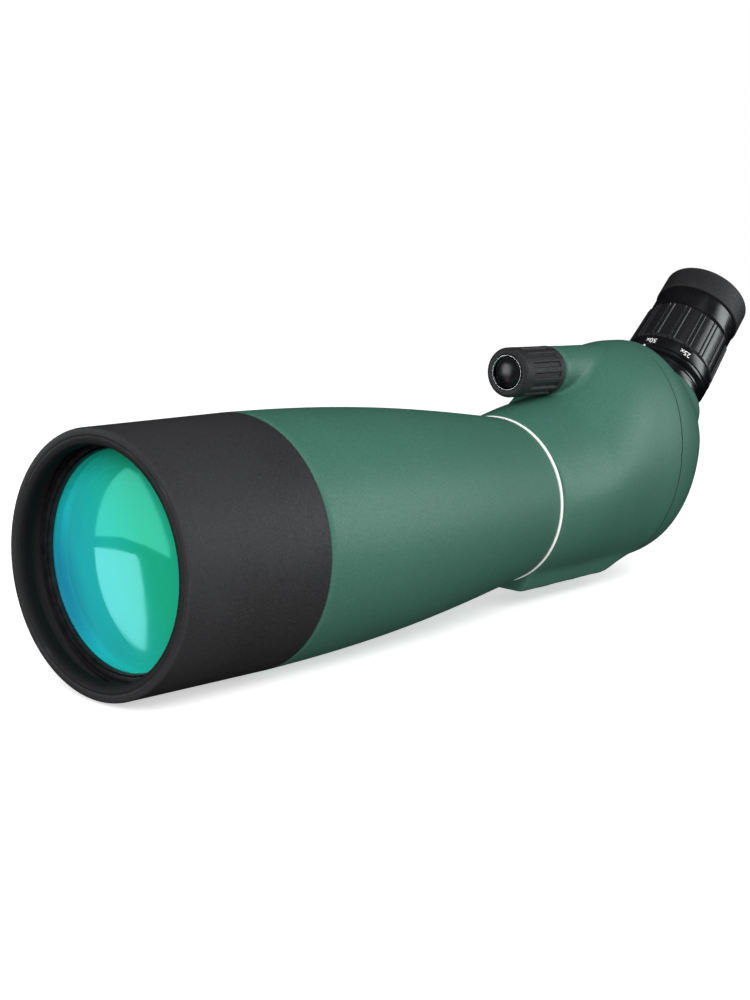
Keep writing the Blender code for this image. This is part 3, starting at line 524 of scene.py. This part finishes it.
def tube_radius(station):
    share = (station - TUBE_FRONT) / (TUBE_REAR - TUBE_FRONT)
    share = min(max(share, 0.0), 1.0) ** 1.15
    return NECK_RADIUS + (HOOD_REAR_RADIUS - NECK_RADIUS) * math.cos(math.pi / 2 * share)


def build_tube():
    steps = 70
    stations = [TUBE_FRONT + 0.0006 + (TUBE_REAR - TUBE_FRONT - 0.0008) * i / steps for i in range(steps + 1)]
    outline = [
        (0.0366, 0.0125),
        (BARREL_RADIUS, 0.0121, 0.0004),
        (BARREL_RADIUS, 0.0157, 0.0002),
        (BARREL_RADIUS - 0.0010, 0.0157),
        (BARREL_RADIUS - 0.0010, 0.0193),
        (BARREL_RADIUS, 0.0193, 0.0002),
        (BARREL_RADIUS, TUBE_FRONT, 0.0003),
        (HOOD_REAR_RADIUS - 0.0004, TUBE_FRONT, 0.0003),
    ]
    outline += [(tube_radius(s), s) for s in stations]
    outline += [
        (NECK_RADIUS - 0.0006, TUBE_REAR + 0.0003, 0.0002),
        (0.0299, TUBE_REAR + 0.0003),
        (0.0299, 0.2060, 0.0005),
        (0.0275, 0.2060),
        (0.0275, 0.1920),
    ]
    outline += [(tube_radius(s) - 0.0024, s) for s in reversed(stations) if 0.070 < s < 0.188]
    outline += [(0.0396, 0.0660), (0.0356, 0.0600), (0.0356, 0.0335), (0.0366, 0.0335)]
    turned("tube_shell", outline, "tube", "green_armour", "scope_body", ["main_tube"], 200)
    ring = (
        (0.0302, TUBE_REAR + 0.0004),
        (0.0326, TUBE_REAR + 0.0004, 0.0004),
        (0.0326, 0.1975, 0.0004),
        (0.0302, 0.1975),
    )
    turned("white_accent_ring", ring, "tube", "white_ring", "scope_body", ["accent_ring"], 200)


def build_objective():
    cell = (
        (0.0349, 0.0094, 0.0002),
        (0.0360, 0.0092, 0.0003),
        (0.0372, 0.0096, 0.0003),
        (BARREL_RADIUS, 0.0093, 0.0005),
        (BARREL_RADIUS, 0.0118, 0.0003),
        (0.0364, 0.0118),
        (0.0364, 0.0320, 0.0004),
        (0.0322, 0.0320, 0.0004),
        (0.0322, 0.0292),
        (0.0349, 0.0292),
    )
    turned("lens_cell", cell, "tube", "black_metal", "scope_body", ["objective_cell"], 160)
    retainer = (
        (0.0341, 0.0096, 0.0002),
        (0.0346, 0.0096, 0.0001),
        (0.0346, 0.0112),
        (0.0339, 0.0112),
        (0.0339, 0.0103, 0.0001),
    )
    stands_for = ["objective_retaining_ring"]
    turned("lens_retaining_ring", retainer, "tube", "black_metal", "scope_body", stands_for, 160)
    steps = 24
    edge = 0.0346
    face = 0.0341
    front = [(face * i / steps, LENS_FACE - LENS_BULGE * (1 - (i / steps) ** 2)) for i in range(steps + 1)]
    rear = [(edge * i / steps, 0.0182 + 0.0030 * (1 - (i / steps) ** 2)) for i in range(steps, -1, -1)]
    outline = front + [(0.0344, LENS_FACE - 0.0003), (edge, 0.0113)] + rear
    turned("front_lens", outline, "tube", "coated_glass", "scope_body", ["objective_crown_lens"], 200, False)


# ---- prism housing ------------------------------------------------------------------------
def housing_row(station):
    places = HOUSING_ROWS[:, 0]
    station = min(max(station, places[0]), places[-1])
    k = min(int(np.searchsorted(places, station, side="right")) - 1, len(places) - 2)
    slopes = np.gradient(HOUSING_ROWS, places, axis=0)
    width = places[k + 1] - places[k]
    t = (station - places[k]) / width
    start = (2 * t**3 - 3 * t**2 + 1) * HOUSING_ROWS[k] + (t**3 - 2 * t**2 + t) * width * slopes[k]
    end = (3 * t**2 - 2 * t**3) * HOUSING_ROWS[k + 1] + (t**3 - t**2) * width * slopes[k + 1]
    return start + end


def section(station, count):
    """Points (x, z) round the housing at a station, from the tube axis."""
    _, half, top, middle, bottom, power = housing_row(station)
    foot_level = -AXIS_HEIGHT + max(0.0, station - FOOT_REAR) * 0.22
    points = []
    for i in range(count):
        angle = 2 * math.pi * i / count
        c = math.cos(angle)
        s = math.sin(angle)
        rise = top - middle if s > 0 else middle - bottom
        shape = power if s > 0 else 2.0
        radius = ((abs(c) / half) ** shape + (abs(s) / rise) ** shape) ** (-1 / shape)
        if s < -0.5 and station < SEAM:
            under = (middle - foot_level) / -s
            reach = FOOT_HALF_WIDTH + (AXIS_HEIGHT + middle) * FOOT_FLARE
            side = reach / (abs(c) - s * FOOT_FLARE)
            foot = min(under, side)
            blend = 0.5 * (radius + foot + math.hypot(radius - foot, 0.0010))
            weight = min(1.0, (-s - 0.5) / 0.2) * min(1.0, (SEAM - station) / 0.020)
            radius += weight * (blend - radius)
            radius = min(radius, (middle + AXIS_HEIGHT) / -s)
        points.append((radius * c, middle + radius * s))
    return points


def loft(name, stations, count):
    vertices = []
    faces = []
    for station in stations:
        vertices += [(x, TUBE_START.y + station, TUBE_START.z + z) for x, z in section(station, count)]
    for k in range(len(stations) - 1):
        for i in range(count):
            j = (i + 1) % count
            faces.append((k * count + i, k * count + j, (k + 1) * count + j, (k + 1) * count + i))
    faces.append(tuple(range(count))[::-1])
    faces.append(tuple(range((len(stations) - 1) * count, len(stations) * count)))
    return recalculate(new_object(name, vertices, faces))


def plain_turned(outline, axis, segments=96):
    """A turned helper in world coordinates, to be merged into another piece."""
    points = softened(outline, False)
    bm = bmesh.new()
    rings = []
    for radius, along in points:
        if radius < 1e-7:
            rings.append([bm.verts.new((0, 0, along))])
            continue
        angles = [2 * math.pi * i / segments for i in range(segments)]
        rings.append([bm.verts.new((radius * math.cos(a), radius * math.sin(a), along)) for a in angles])
    for near, far in zip(rings, rings[1:]):
        for i in range(segments):
            j = (i + 1) % segments
            if len(near) == 1:
                bm.faces.new((near[0], far[j], far[i]))
            elif len(far) == 1:
                bm.faces.new((near[i], near[j], far[0]))
            else:
                bm.faces.new((near[i], near[j], far[j], far[i]))
    bmesh.ops.recalc_face_normals(bm, faces=bm.faces)
    bmesh.ops.transform(bm, matrix=axis_frame(axis), verts=bm.verts)
    return bm


def evaluated(obj):
    graph = bpy.context.evaluated_depsgraph_get()
    graph.update()
    return bpy.data.meshes.new_from_object(obj.evaluated_get(graph))


def merged_shell():
    """Housing, focus boss and eyepiece socket run together as one skin by a voxel remesh; build_housing
    smooths it afterwards.
    """
    last = HOUSING_ROWS[-1, 0]
    count = 150
    stations = [HOUSING_FRONT + (last - HOUSING_FRONT) * i / count for i in range(count + 1)]
    body = loft("shell_raw", stations, 200)
    boss = plain_turned(
        ((0, BOSS_FRONT), (BOSS_RADIUS, BOSS_FRONT, 0.0005), (BOSS_RADIUS, 0.2650), (0, 0.2650)), "focus"
    )
    socket = plain_turned(
        (
            (0, 0.0300),
            (0.0272, 0.0300),
            (SOCKET_RADIUS + 0.0004, 0.0500),
            (SOCKET_RADIUS, SOCKET_FACE, 0.0012),
            (0, SOCKET_FACE),
        ),
        "eyepiece",
    )
    bm = bmesh.new()
    bm.from_mesh(body.data)
    for extra in (boss, socket):
        mesh = bpy.data.meshes.new("extra")
        extra.to_mesh(mesh)
        extra.free()
        bm.from_mesh(mesh)
        bpy.data.meshes.remove(mesh)
    bm.to_mesh(body.data)
    bm.free()
    remesh = body.modifiers.new("remesh", "REMESH")
    remesh.mode = "VOXEL"
    remesh.voxel_size = SHELL_VOXEL
    mesh = evaluated(body)
    body.modifiers.clear()
    body.data = mesh
    return body


def smooth_by_weight(mesh, weight, rounds):
    """Laplacian smoothing, held back where weight is low."""
    count = len(mesh.vertices)
    points = np.empty(count * 3)
    mesh.vertices.foreach_get("co", points)
    points = points.reshape(-1, 3)
    edges = np.empty(len(mesh.edges) * 2, dtype=np.int64)
    mesh.edges.foreach_get("vertices", edges)
    edges = edges.reshape(-1, 2)
    degree = np.bincount(edges.ravel(), minlength=count)[:, None]
    for _ in range(rounds):
        total = np.zeros_like(points)
        for k in range(3):
            total[:, k] = np.bincount(edges[:, 0], points[edges[:, 1], k], count)
            total[:, k] += np.bincount(edges[:, 1], points[edges[:, 0], k], count)
        share = weight(points)[:, None]
        points = points + share * (total / degree - points)
    mesh.vertices.foreach_set("co", points.ravel())
    mesh.update()


def shell_weight(points):
    station = points[:, 1] - TUBE_START.y
    height = points[:, 2] - TUBE_START.z
    everywhere = np.full(len(points), 0.08)
    boss_root = np.clip((station - 0.2325) / 0.006, 0, 1) * np.clip((0.268 - station) / 0.01, 0, 1)
    boss_root *= np.clip((height - 0.034) / 0.006, 0, 1)
    socket = np.clip((station - 0.2860) / 0.006, 0, 1) * np.clip((0.3300 - station) / 0.01, 0, 1)
    root = np.clip((height - 0.018) / 0.006, 0, 1)
    return np.maximum(everywhere, np.maximum(0.25 * boss_root, 0.8 * socket * root))


def halved(obj, name, keep_front):
    """The part of the shell in front of, or behind, the seam, with its rim turned inward."""
    bm = bmesh.new()
    bm.from_mesh(obj.data)
    plane = (0, TUBE_START.y + SEAM, 0)
    geometry = bm.verts[:] + bm.edges[:] + bm.faces[:]
    bmesh.ops.bisect_plane(
        bm,
        geom=geometry,
        plane_co=plane,
        plane_no=(0, 1, 0),
        clear_outer=keep_front,
        clear_inner=not keep_front,
    )
    rim = [e for e in bm.edges if e.is_boundary]
    direction = -1 if keep_front else 1
    loop = {v for e in rim for v in e.verts}
    for v in loop:
        fade = min(max((0.0580 - (v.co.z - TUBE_START.z)) / 0.022, 0.15), 1.0)
        v.co.y += direction * SEAM_GAP * fade
    outside = set(bm.faces)
    grown = bmesh.ops.extrude_edge_only(bm, edges=rim)
    inner = [g for g in grown["geom"] if isinstance(g, bmesh.types.BMVert)]
    centre = Vector((0, 0, TUBE_START.z + 0.013))
    for v in inner:
        offset = Vector((v.co.x, 0, v.co.z - centre.z))
        v.co -= offset.normalized() * 0.0012
    edges = [e for e in bm.edges if e.is_boundary]
    grown = bmesh.ops.extrude_edge_only(bm, edges=edges)
    inner = [g for g in grown["geom"] if isinstance(g, bmesh.types.BMVert)]
    for v in inner:
        v.co.y += direction * 0.0030
    edges = [e for e in bm.edges if e.is_boundary]
    bmesh.ops.edgeloop_fill(bm, edges=edges)
    for face in bm.faces:
        face.material_index = 0 if face in outside else 1
    bmesh.ops.recalc_face_normals(bm, faces=bm.faces)
    mesh = bpy.data.meshes.new(name)
    bm.to_mesh(mesh)
    bm.free()
    half = bpy.data.objects.new(name, mesh)
    bpy.context.scene.collection.objects.link(half)
    return half


def drill(obj, radius, low, high, place):
    """A plain round hole between two levels of the given frame's Z axis."""
    bm = bmesh.new()
    bmesh.ops.create_cone(bm, cap_ends=True, segments=48, radius1=radius, radius2=radius, depth=high - low)
    bmesh.ops.translate(bm, vec=(0, 0, (low + high) / 2), verts=bm.verts)
    bmesh.ops.transform(bm, matrix=place, verts=bm.verts)
    mesh = bpy.data.meshes.new("drill")
    bm.to_mesh(mesh)
    bm.free()
    cutter = bpy.data.objects.new("drill", mesh)
    bpy.context.scene.collection.objects.link(cutter)
    step = obj.modifiers.new("drill", "BOOLEAN")
    step.operation = "DIFFERENCE"
    step.solver = "EXACT"
    step.object = cutter
    cut = evaluated(obj)
    obj.modifiers.clear()
    obj.data = cut
    bpy.data.objects.remove(cutter)


def build_housing():
    shell = merged_shell()
    smooth_by_weight(shell.data, shell_weight, SMOOTH_ROUNDS)
    drill(shell, SOCKET_BORE, 0.0400, 0.0600, axis_frame("eyepiece"))
    front = halved(shell, "housing_shell", True)
    rear = halved(shell, "cover_shell", False)
    bpy.data.objects.remove(shell)
    bush_low, bush_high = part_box("tripod_bush")
    middle = (Vector(bush_low) + Vector(bush_high)) / 2
    drill(front, 0.0053, -0.004, 0.0095, Matrix.Translation((middle.x, middle.y, 0)))
    drill(front, 0.0023, -0.004, 0.0060, Matrix.Translation((0, 0.0140, 0)))
    for half, node in ((front, "prism_housing"), (rear, "rear_cover")):
        parts = np.empty(len(half.data.polygons), dtype=np.int32)
        half.data.polygons.foreach_get("material_index", parts)
        finish(half, "green_armour", "scope_body", [node], 50)
        half.data.materials.append(MATERIALS["black_rubber"])
        half.data.polygons.foreach_set("material_index", parts)


# ---- focus knob ---------------------------------------------------------------------------
def square_wave(angles, count, share, soft, phase=0.0):
    """1 inside each flute and 0 outside, with softened sides."""
    turn = (angles * count / (2 * np.pi) + phase) % 1.0
    gap = np.abs(turn - 0.5)
    return np.clip((share / 2 - gap) / soft + 0.5, 0.0, 1.0)


def build_knob():
    outer = 0.00975
    rear = 0.2283
    rows = [(0.0070, 0.2043, 0, 0), (0.0070, 0.2019, 0, 0), (0.0073, 0.2014, 0, 0)]
    for k in range(9):
        angle = math.pi / 2 * k / 8
        rows.append((0.0083 + 0.00145 * math.sin(angle), 0.2028 - 0.00145 * math.cos(angle), 0, 0))
    flute = 0.00085
    for station, weight in (
        (0.2068, 0),
        (0.2071, 0.04),
        (0.2073, 0.25),
        (0.2075, 0.75),
        (0.2077, 0.96),
        (0.2080, 1.0),
    ):
        rows.append((outer, station, 0, weight * flute))
    rows += [(outer, 0.2080 + 0.0168 * k / 12, 0, flute) for k in range(1, 13)]
    for station, weight in ((0.2250, 0.96), (0.2252, 0.75), (0.2254, 0.25), (0.2256, 0.04), (0.2259, 0)):
        rows.append((outer, station, 0, weight * flute))
    rows += [(outer, rear - 0.0006, 0, 0), (outer - 0.0001, rear - 0.0002, 0, 0)]
    rows += [(outer - 0.0006, rear, 0, 0)]
    rows += [(0.0087, rear, 0, 0), (0.0087, 0.2043, 0, 0)]
    turned(
        "knob_sleeve",
        rows,
        "focus",
        "black_rubber",
        "focus_knob",
        ["focus_knob_grip"],
        504,
        True,
        lambda a: -square_wave(a, 14, 0.50, 0.08, 0.3),
        60,
    )
    ring = ((0.0063, 0.2016, 0.0002), (0.0069, 0.2013, 0.0003), (0.0069, 0.2043), (0.0063, 0.2043))
    turned("knob_ring", ring, "focus", "chrome", "focus_knob", ["knob_trim_ring"], 96)
    turns = np.linspace(0, math.pi / 2, 14)
    dome = [(0.0060 * math.sin(a), 0.2024 - 0.0013 * math.cos(a)) for a in turns]
    dome[0] = (0.0, dome[0][1])
    dome += [(0.0060, 0.2029), (0.0, 0.2029)]
    turned("knob_badge_dome", dome, "focus", "gloss_black", "focus_knob", ["knob_cap"], 96, False)


# ---- eyepiece -----------------------------------------------------------------------------
def grip_ribs(angles):
    """Pairs of narrow ribs. Angle is measured from the top, local -Y."""
    from_top = np.degrees(angles) + 90.0
    place = (from_top - 22.5 / 2) % 22.5 - 22.5 / 2
    ribs = np.zeros_like(angles)
    for side in (-3.1, 3.1):
        gap = np.abs(place - side)
        ribs = np.maximum(ribs, np.clip((1.25 - gap) / 0.5, 0.0, 1.0))
    return ribs


def build_eyepiece():
    collar = (
        (0.0156, 0.0500),
        (0.0186, 0.0502),
        (0.0190, SOCKET_FACE + 0.0006, 0.0003),
        (0.0190, 0.0556, 0.0004),
        (0.0182, 0.0560, 0.0002),
        (0.0181, 0.0572, 0.0002),
        (0.0185, 0.0575, 0.0002),
        (0.0185, 0.0588, 0.0003),
        (0.0178, 0.0590, 0.0002),
        (0.0199, 0.0596, 0.0002),
        (0.0202, 0.0600, 0.0002),
        (0.0202, 0.0613, 0.0002),
        (0.0190, 0.0613),
        (0.0190, 0.0602),
        (0.0156, 0.0602),
    )
    turned("lower_collar", collar, "eyepiece", "gloss_black", "scope_body", ["eyepiece_collar"], 144)
    ring = (
        (0.0173, 0.0616),
        (0.0200, 0.0616, 0.0002),
        (0.0203, 0.0619, 0.0003),
        (0.0203, 0.0669, 0.0004),
        (0.0193, 0.0671, 0.0002),
        (0.0186, 0.0672),
        (0.0186, 0.0878),
        (0.0173, 0.0878),
    )
    turned("scale_ring", ring, "eyepiece", "gloss_black", "zoom_control", ["zoom_ring"], 160)
    rib = 0.00062
    rows = [(0.0188, 0.0674, 0, 0), (0.0197, 0.0673, 0, rib * 0.3), (0.0200, 0.0676, 0, rib)]
    rows += [(0.0200 - 0.0008 * k / 16, 0.0676 + 0.0196 * k / 16, 0, rib) for k in range(1, 17)]
    rows += [(0.01915, 0.0876, 0, rib * 0.7), (0.0190, 0.0878, 0, 0), (0.0188, 0.0878, 0, 0)]
    turned(
        "ribbed_grip",
        rows,
        "eyepiece",
        "black_plastic",
        "zoom_control",
        ["zoom_grip"],
        720,
        True,
        grip_ribs,
        60,
    )
    band = (
        (0.0156, 0.0883),
        (0.0187, 0.0883, 0.0003),
        (0.0191, 0.0892, 0.0008),
        (0.0191, 0.0976, 0.0006),
        (0.0186, 0.0981, 0.0003),
        (0.0170, 0.0981),
        (0.0170, 0.1030, 0.0003),
        (0.0156, 0.1030, 0.0003),
    )
    turned("smooth_band", band, "eyepiece", "gloss_black", "scope_body", ["eyepiece_top_collar"], 160)
    cup = (
        (0.0190, 0.0986, 0.0002),
        (0.0197, 0.0986, 0.0004),
        (0.0196, 0.1040),
        (0.0195, 0.1106, 0.0014),
        (0.0151, 0.1106, 0.0014),
        (0.0144, 0.1080, 0.0010),
        (0.0142, 0.1069, 0.0002),
        (0.0190, 0.1069),
    )
    turned("eyecup_rubber", cup, "eyepiece", "black_rubber", "cup", ["eyecup"], 160)
    steps = 16
    edge = 0.0136
    front = [(edge * i / steps, 0.0925 - 0.0014 * (1 - (i / steps) ** 2)) for i in range(steps + 1)]
    rear = [(edge * i / steps, 0.0968 + 0.0012 * (1 - (i / steps) ** 2)) for i in range(steps, -1, -1)]
    turned("eye_glass", front + rear, "eyepiece", "coated_glass", "scope_body", ["eye_lens"], 96, False)
    stop = (
        (0.0118, 0.0990, 0.0001),
        (0.0121, 0.0984, 0.0001),
        (0.0136, 0.0984),
        (0.0136, 0.0998, 0.0002),
        (0.0124, 0.0998, 0.0003),
    )
    turned("eye_stop", stop, "eyepiece", "black_metal", "scope_body", ["eye_lens_retainer"], 96)


def wrapped_text(name, words, size, radius, start, angle):
    """Scale figures lying on the ring, their tops towards the housing."""
    curve = bpy.data.curves.new(name, "FONT")
    curve.body = words
    curve.size = size
    curve.align_x = "CENTER"
    curve.align_y = "CENTER"
    curve.extrude = 0.00006
    curve.resolution_u = 4
    obj = bpy.data.objects.new(name, curve)
    bpy.context.scene.collection.objects.link(obj)
    mesh = evaluated(obj)
    bpy.data.objects.remove(obj)
    bm = bmesh.new()
    bm.from_mesh(mesh)
    bmesh.ops.remove_doubles(bm, verts=bm.verts, dist=1e-6)
    bmesh.ops.recalc_face_normals(bm, faces=bm.faces)
    for v in bm.verts:
        around = math.radians(angle) - v.co.x / radius
        reach = radius + 0.00003 + v.co.z
        v.co = Vector((reach * math.sin(around), -reach * math.cos(around), start - v.co.y))
    flat = bpy.data.meshes.new(name)
    bm.to_mesh(flat)
    bm.free()
    text = bpy.data.objects.new(name, flat)
    bpy.context.scene.collection.objects.link(text)
    text.matrix_world = axis_frame("eyepiece")
    return finish(text, "white_paint", "zoom_control", (), 30)


def build_scale():
    step = 46.5
    for words, angle in (("25x", 48.0), ("50x", 1.5), ("75x", 1.5 - step)):
        wrapped_text("scale_" + words, words, 0.0034, 0.0203, 0.0640, angle)
    bm = bmesh.new()
    bmesh.ops.create_uvsphere(bm, u_segments=24, v_segments=12, radius=0.00080)
    bmesh.ops.scale(bm, vec=(1, 0.35, 1), verts=bm.verts)
    mesh = bpy.data.meshes.new("index_dot")
    bm.to_mesh(mesh)
    bm.free()
    dot = bpy.data.objects.new("index_dot", mesh)
    bpy.context.scene.collection.objects.link(dot)
    angle = math.radians(-5.0)
    spot = Matrix.Rotation(angle, 4, "Z") @ Matrix.Translation((0, -0.0202, 0.0606))
    dot.matrix_world = axis_frame("eyepiece") @ spot
    finish(dot, "white_paint", "scope_body")


# ---- carried-over CAD nodes ---------------------------------------------------------------
def dress_nodes():
    slots = {s["node"]: s["material_slot"] for s in RECORD["subparts"]}
    for name, obj in frame["nodes"].items():
        obj.data.materials.clear()
        obj.data.materials.append(MATERIALS[slots[name]])


# ---- camera, light and floor --------------------------------------------------------------
CAMERA_AT = Vector((0.3523, -0.5139, 0.1324))
LOOK = Vector((-0.6318, 0.7589, -0.1577)).normalized()
ROLL = 2.28
LENS_MM = 55.8
SENSOR_MM = 36.0
SHIFT = (-0.0192, -0.0099)


def build_camera():
    data = bpy.data.cameras.new("camera")
    data.sensor_width = SENSOR_MM
    data.lens = LENS_MM
    data.shift_x, data.shift_y = SHIFT
    data.clip_start = 0.01
    camera = bpy.data.objects.new("camera", data)
    level = LOOK.to_track_quat("-Z", "Y").to_matrix().to_4x4()
    camera.matrix_world = Matrix.Translation(CAMERA_AT) @ level @ Matrix.Rotation(math.radians(ROLL), 4, "Z")
    bpy.context.scene.collection.objects.link(camera)
    bpy.context.scene.camera = camera


def stage_material(name, colour, glow=0.0):
    n = Nodes(name)
    n.base(n.mix(n.ramp(n.noise(3.0), (0.3, 0.0), (0.7, 1.0)), tuple(0.985 * c for c in colour), colour))
    n.fix(Roughness=0.8)
    if glow:
        n.fix(Emission_Color=(*colour, 1.0), Emission_Strength=glow)
    return n.material


def card(name, centre, facing, width, height, material):
    """A flat stage panel."""
    bm = bmesh.new()
    bmesh.ops.create_grid(bm, x_segments=1, y_segments=1, size=0.5)
    bmesh.ops.scale(bm, vec=(width, height, 1), verts=bm.verts)
    mesh = bpy.data.meshes.new(name)
    bm.to_mesh(mesh)
    bm.free()
    obj = bpy.data.objects.new(name, mesh)
    bpy.context.scene.collection.objects.link(obj)
    turn = (Vector(facing) - Vector(centre)).to_track_quat("Z", "Y").to_matrix().to_4x4()
    obj.matrix_world = Matrix.Translation(Vector(centre)) @ turn
    mesh.materials.append(material)
    return obj


def area_light(name, centre, target, size, power):
    data = bpy.data.lights.new(name, "AREA")
    data.shape = "RECTANGLE"
    data.size, data.size_y = size
    data.energy = power
    light = bpy.data.objects.new(name, data)
    turn = (Vector(target) - Vector(centre)).to_track_quat("-Z", "Y").to_matrix().to_4x4()
    light.matrix_world = Matrix.Translation(Vector(centre)) @ turn
    bpy.context.scene.collection.objects.link(light)
    return light


# Two bright shapes as they fall on the lens face, in metres right of and above its centre, drawn.
# Each starts with its share of the curved left edge, an arc of this ellipse.
PANE_EDGE = {"centre": (0.0072, 0.0014), "half": (0.0268, 0.0298)}
UPPER_ARC = (174, 112)
LOWER_ARC = (181, 269)
UPPER_REST = ((0.0030, 0.0275), (0.0085, 0.0225), (0.0142, 0.0145), (0.0180, 0.0075))
UPPER_REST += ((0.0188, 0.0036), (0.0070, 0.0056), (-0.0060, 0.0064))
LOWER_REST = ((0.0074, -0.0180), (0.0056, -0.0070), (0.0034, 0.0006), (0.0018, 0.0020), (-0.0090, 0.0019))
PANE_PLANE = 0.220


def arc_points(first, last):
    """Points along the panes' curved edge between two angles in degrees."""
    x, z = PANE_EDGE["centre"]
    a, b = PANE_EDGE["half"]
    turns = [math.radians(first + (last - first) * i / 16) for i in range(17)]
    return [(x + a * math.cos(t), z + b * math.sin(t)) for t in turns]


def pane(name, outline, depth, material):
    """A glossy-only panel in front of the hood that fills the given outline when seen in the lens."""
    eye = Vector(CAMERA_AT)
    mirror = TUBE_START.y + LENS_FACE
    eye.y = 2 * mirror - eye.y
    reach = (TUBE_START.y - PANE_PLANE - depth - eye.y) / (mirror - eye.y)
    corners = []
    for x, z in outline:
        spot = Vector((x, mirror, TUBE_START.z + z))
        corners.append(eye + (spot - eye) * reach)
    obj = new_object(name, corners, [tuple(range(len(corners)))])
    obj.data.materials.append(material)
    glossy_only(obj)
    return obj


def glossy_only(obj):
    obj.visible_camera = False
    obj.visible_diffuse = False
    obj.visible_shadow = False
    obj.visible_transmission = False


def glow(name, strength, colour=(0.95, 1.0, 1.0)):
    material = stage_material(name, (0.01, 0.01, 0.01))
    shader = material.node_tree.nodes["Principled BSDF"]
    shader.inputs["Emission Color"].default_value = (*colour, 1.0)
    shader.inputs["Emission Strength"].default_value = strength
    return material


def softbox(name, anchor, direction, distance, size, strength):
    """A glossy-only glowing card that draws a highlight on the piece at anchor."""
    centre = Vector(anchor) + Vector(direction).normalized() * distance
    obj = card(name, centre, anchor, size[0], size[1], glow(name, strength))
    glossy_only(obj)
    return obj


# The world's brightness from straight below (0) to straight above (1).
SKY = ((0.0, 0.68), (0.42, 0.78), (0.56, 1.00), (1.0, 0.84))


def build_world():
    """White to the camera. The object gets less light from above, below and the far side."""
    world = bpy.data.worlds.new("studio")
    world.use_nodes = True
    tree = world.node_tree
    where = tree.nodes.new("ShaderNodeTexCoord")
    split = tree.nodes.new("ShaderNodeSeparateXYZ")
    tree.links.new(where.outputs["Generated"], split.inputs[0])
    rise = tree.nodes.new("ShaderNodeMapRange")
    rise.inputs["From Min"].default_value = -1.0
    tree.links.new(split.outputs[2], rise.inputs["Value"])
    shade = tree.nodes.new("ShaderNodeValToRGB")
    points = shade.color_ramp.elements
    points.new(0.46)
    points.new(0.56)
    for point, (at, level) in zip(points, SKY):
        point.position = at
        point.color = (level, level, level, 1.0)
    tree.links.new(rise.outputs[0], shade.inputs["Fac"])
    across = tree.nodes.new("ShaderNodeMapRange")
    across.inputs["From Min"].default_value = -1.0
    across.inputs["To Min"].default_value = 0.35
    across.inputs["To Max"].default_value = 1.05
    tree.links.new(split.outputs[0], across.inputs["Value"])
    level = tree.nodes.new("ShaderNodeMix")
    level.data_type = "RGBA"
    level.blend_type = "MULTIPLY"
    level.inputs[0].default_value = 1.0
    tree.links.new(shade.outputs["Color"], level.inputs[6])
    tree.links.new(across.outputs[0], level.inputs[7])
    path = tree.nodes.new("ShaderNodeLightPath")
    choose = tree.nodes.new("ShaderNodeMix")
    choose.data_type = "RGBA"
    tree.links.new(path.outputs["Is Camera Ray"], choose.inputs[0])
    tree.links.new(level.outputs[2], choose.inputs[6])
    choose.inputs[7].default_value = (1.0, 1.0, 1.0, 1.0)
    tree.links.new(choose.outputs[2], tree.nodes["Background"].inputs["Color"])
    bpy.context.scene.world = world
    world.cycles_visibility.glossy = False


def build_stage():
    floor_level = CAD_BOX[0][2] - 0.0002
    white = stage_material("paper", (0.93, 0.93, 0.93), 0.56)
    floor = card("floor", (0, 0, floor_level), (0, 0, 1), 12.0, 12.0, white)
    floor.visible_glossy = False
    floor.visible_diffuse = False
    build_world()
    key = area_light("key", (0.75, -0.10, 0.80), (0, 0, 0.03), (0.55, 0.55), 2.8)
    front = area_light("front", (0.55, -1.00, 0.55), (0, 0, 0.03), (0.70, 0.50), 10.0)
    key.visible_glossy = False
    front.visible_glossy = False
    pane("upper_pane", arc_points(*UPPER_ARC) + list(UPPER_REST), 0.0, glow("upper_window", 1.0))
    lower = glow("lower_window", 2.8, (1.0, 0.55, 0.74))
    pane("lower_pane", arc_points(*LOWER_ARC) + list(LOWER_REST), 0.0, lower)
    eyepiece = EYE_START + EYE_AXIS * 0.080
    softbox("eye_box", eyepiece, (0.77, 0.59, 0.24), 0.80, (0.30, 0.60), 5.5)
    softbox("broad_box", (0, -0.08, 0.04), (0.62, -0.25, 0.75), 1.10, (0.90, 0.90), 0.35)
    softbox("cap_box", FOCUS_POINT + Vector((0, -0.010, 0)), (-0.57, -0.81, 0.02), 0.35, (0.10, 0.10), 4.0)


build_hood()
build_tube()
build_objective()
build_housing()
build_knob()
build_eyepiece()
build_scale()
dress_nodes()
build_camera()
build_stage()
bpy.context.scene.view_settings.view_transform = "Standard"
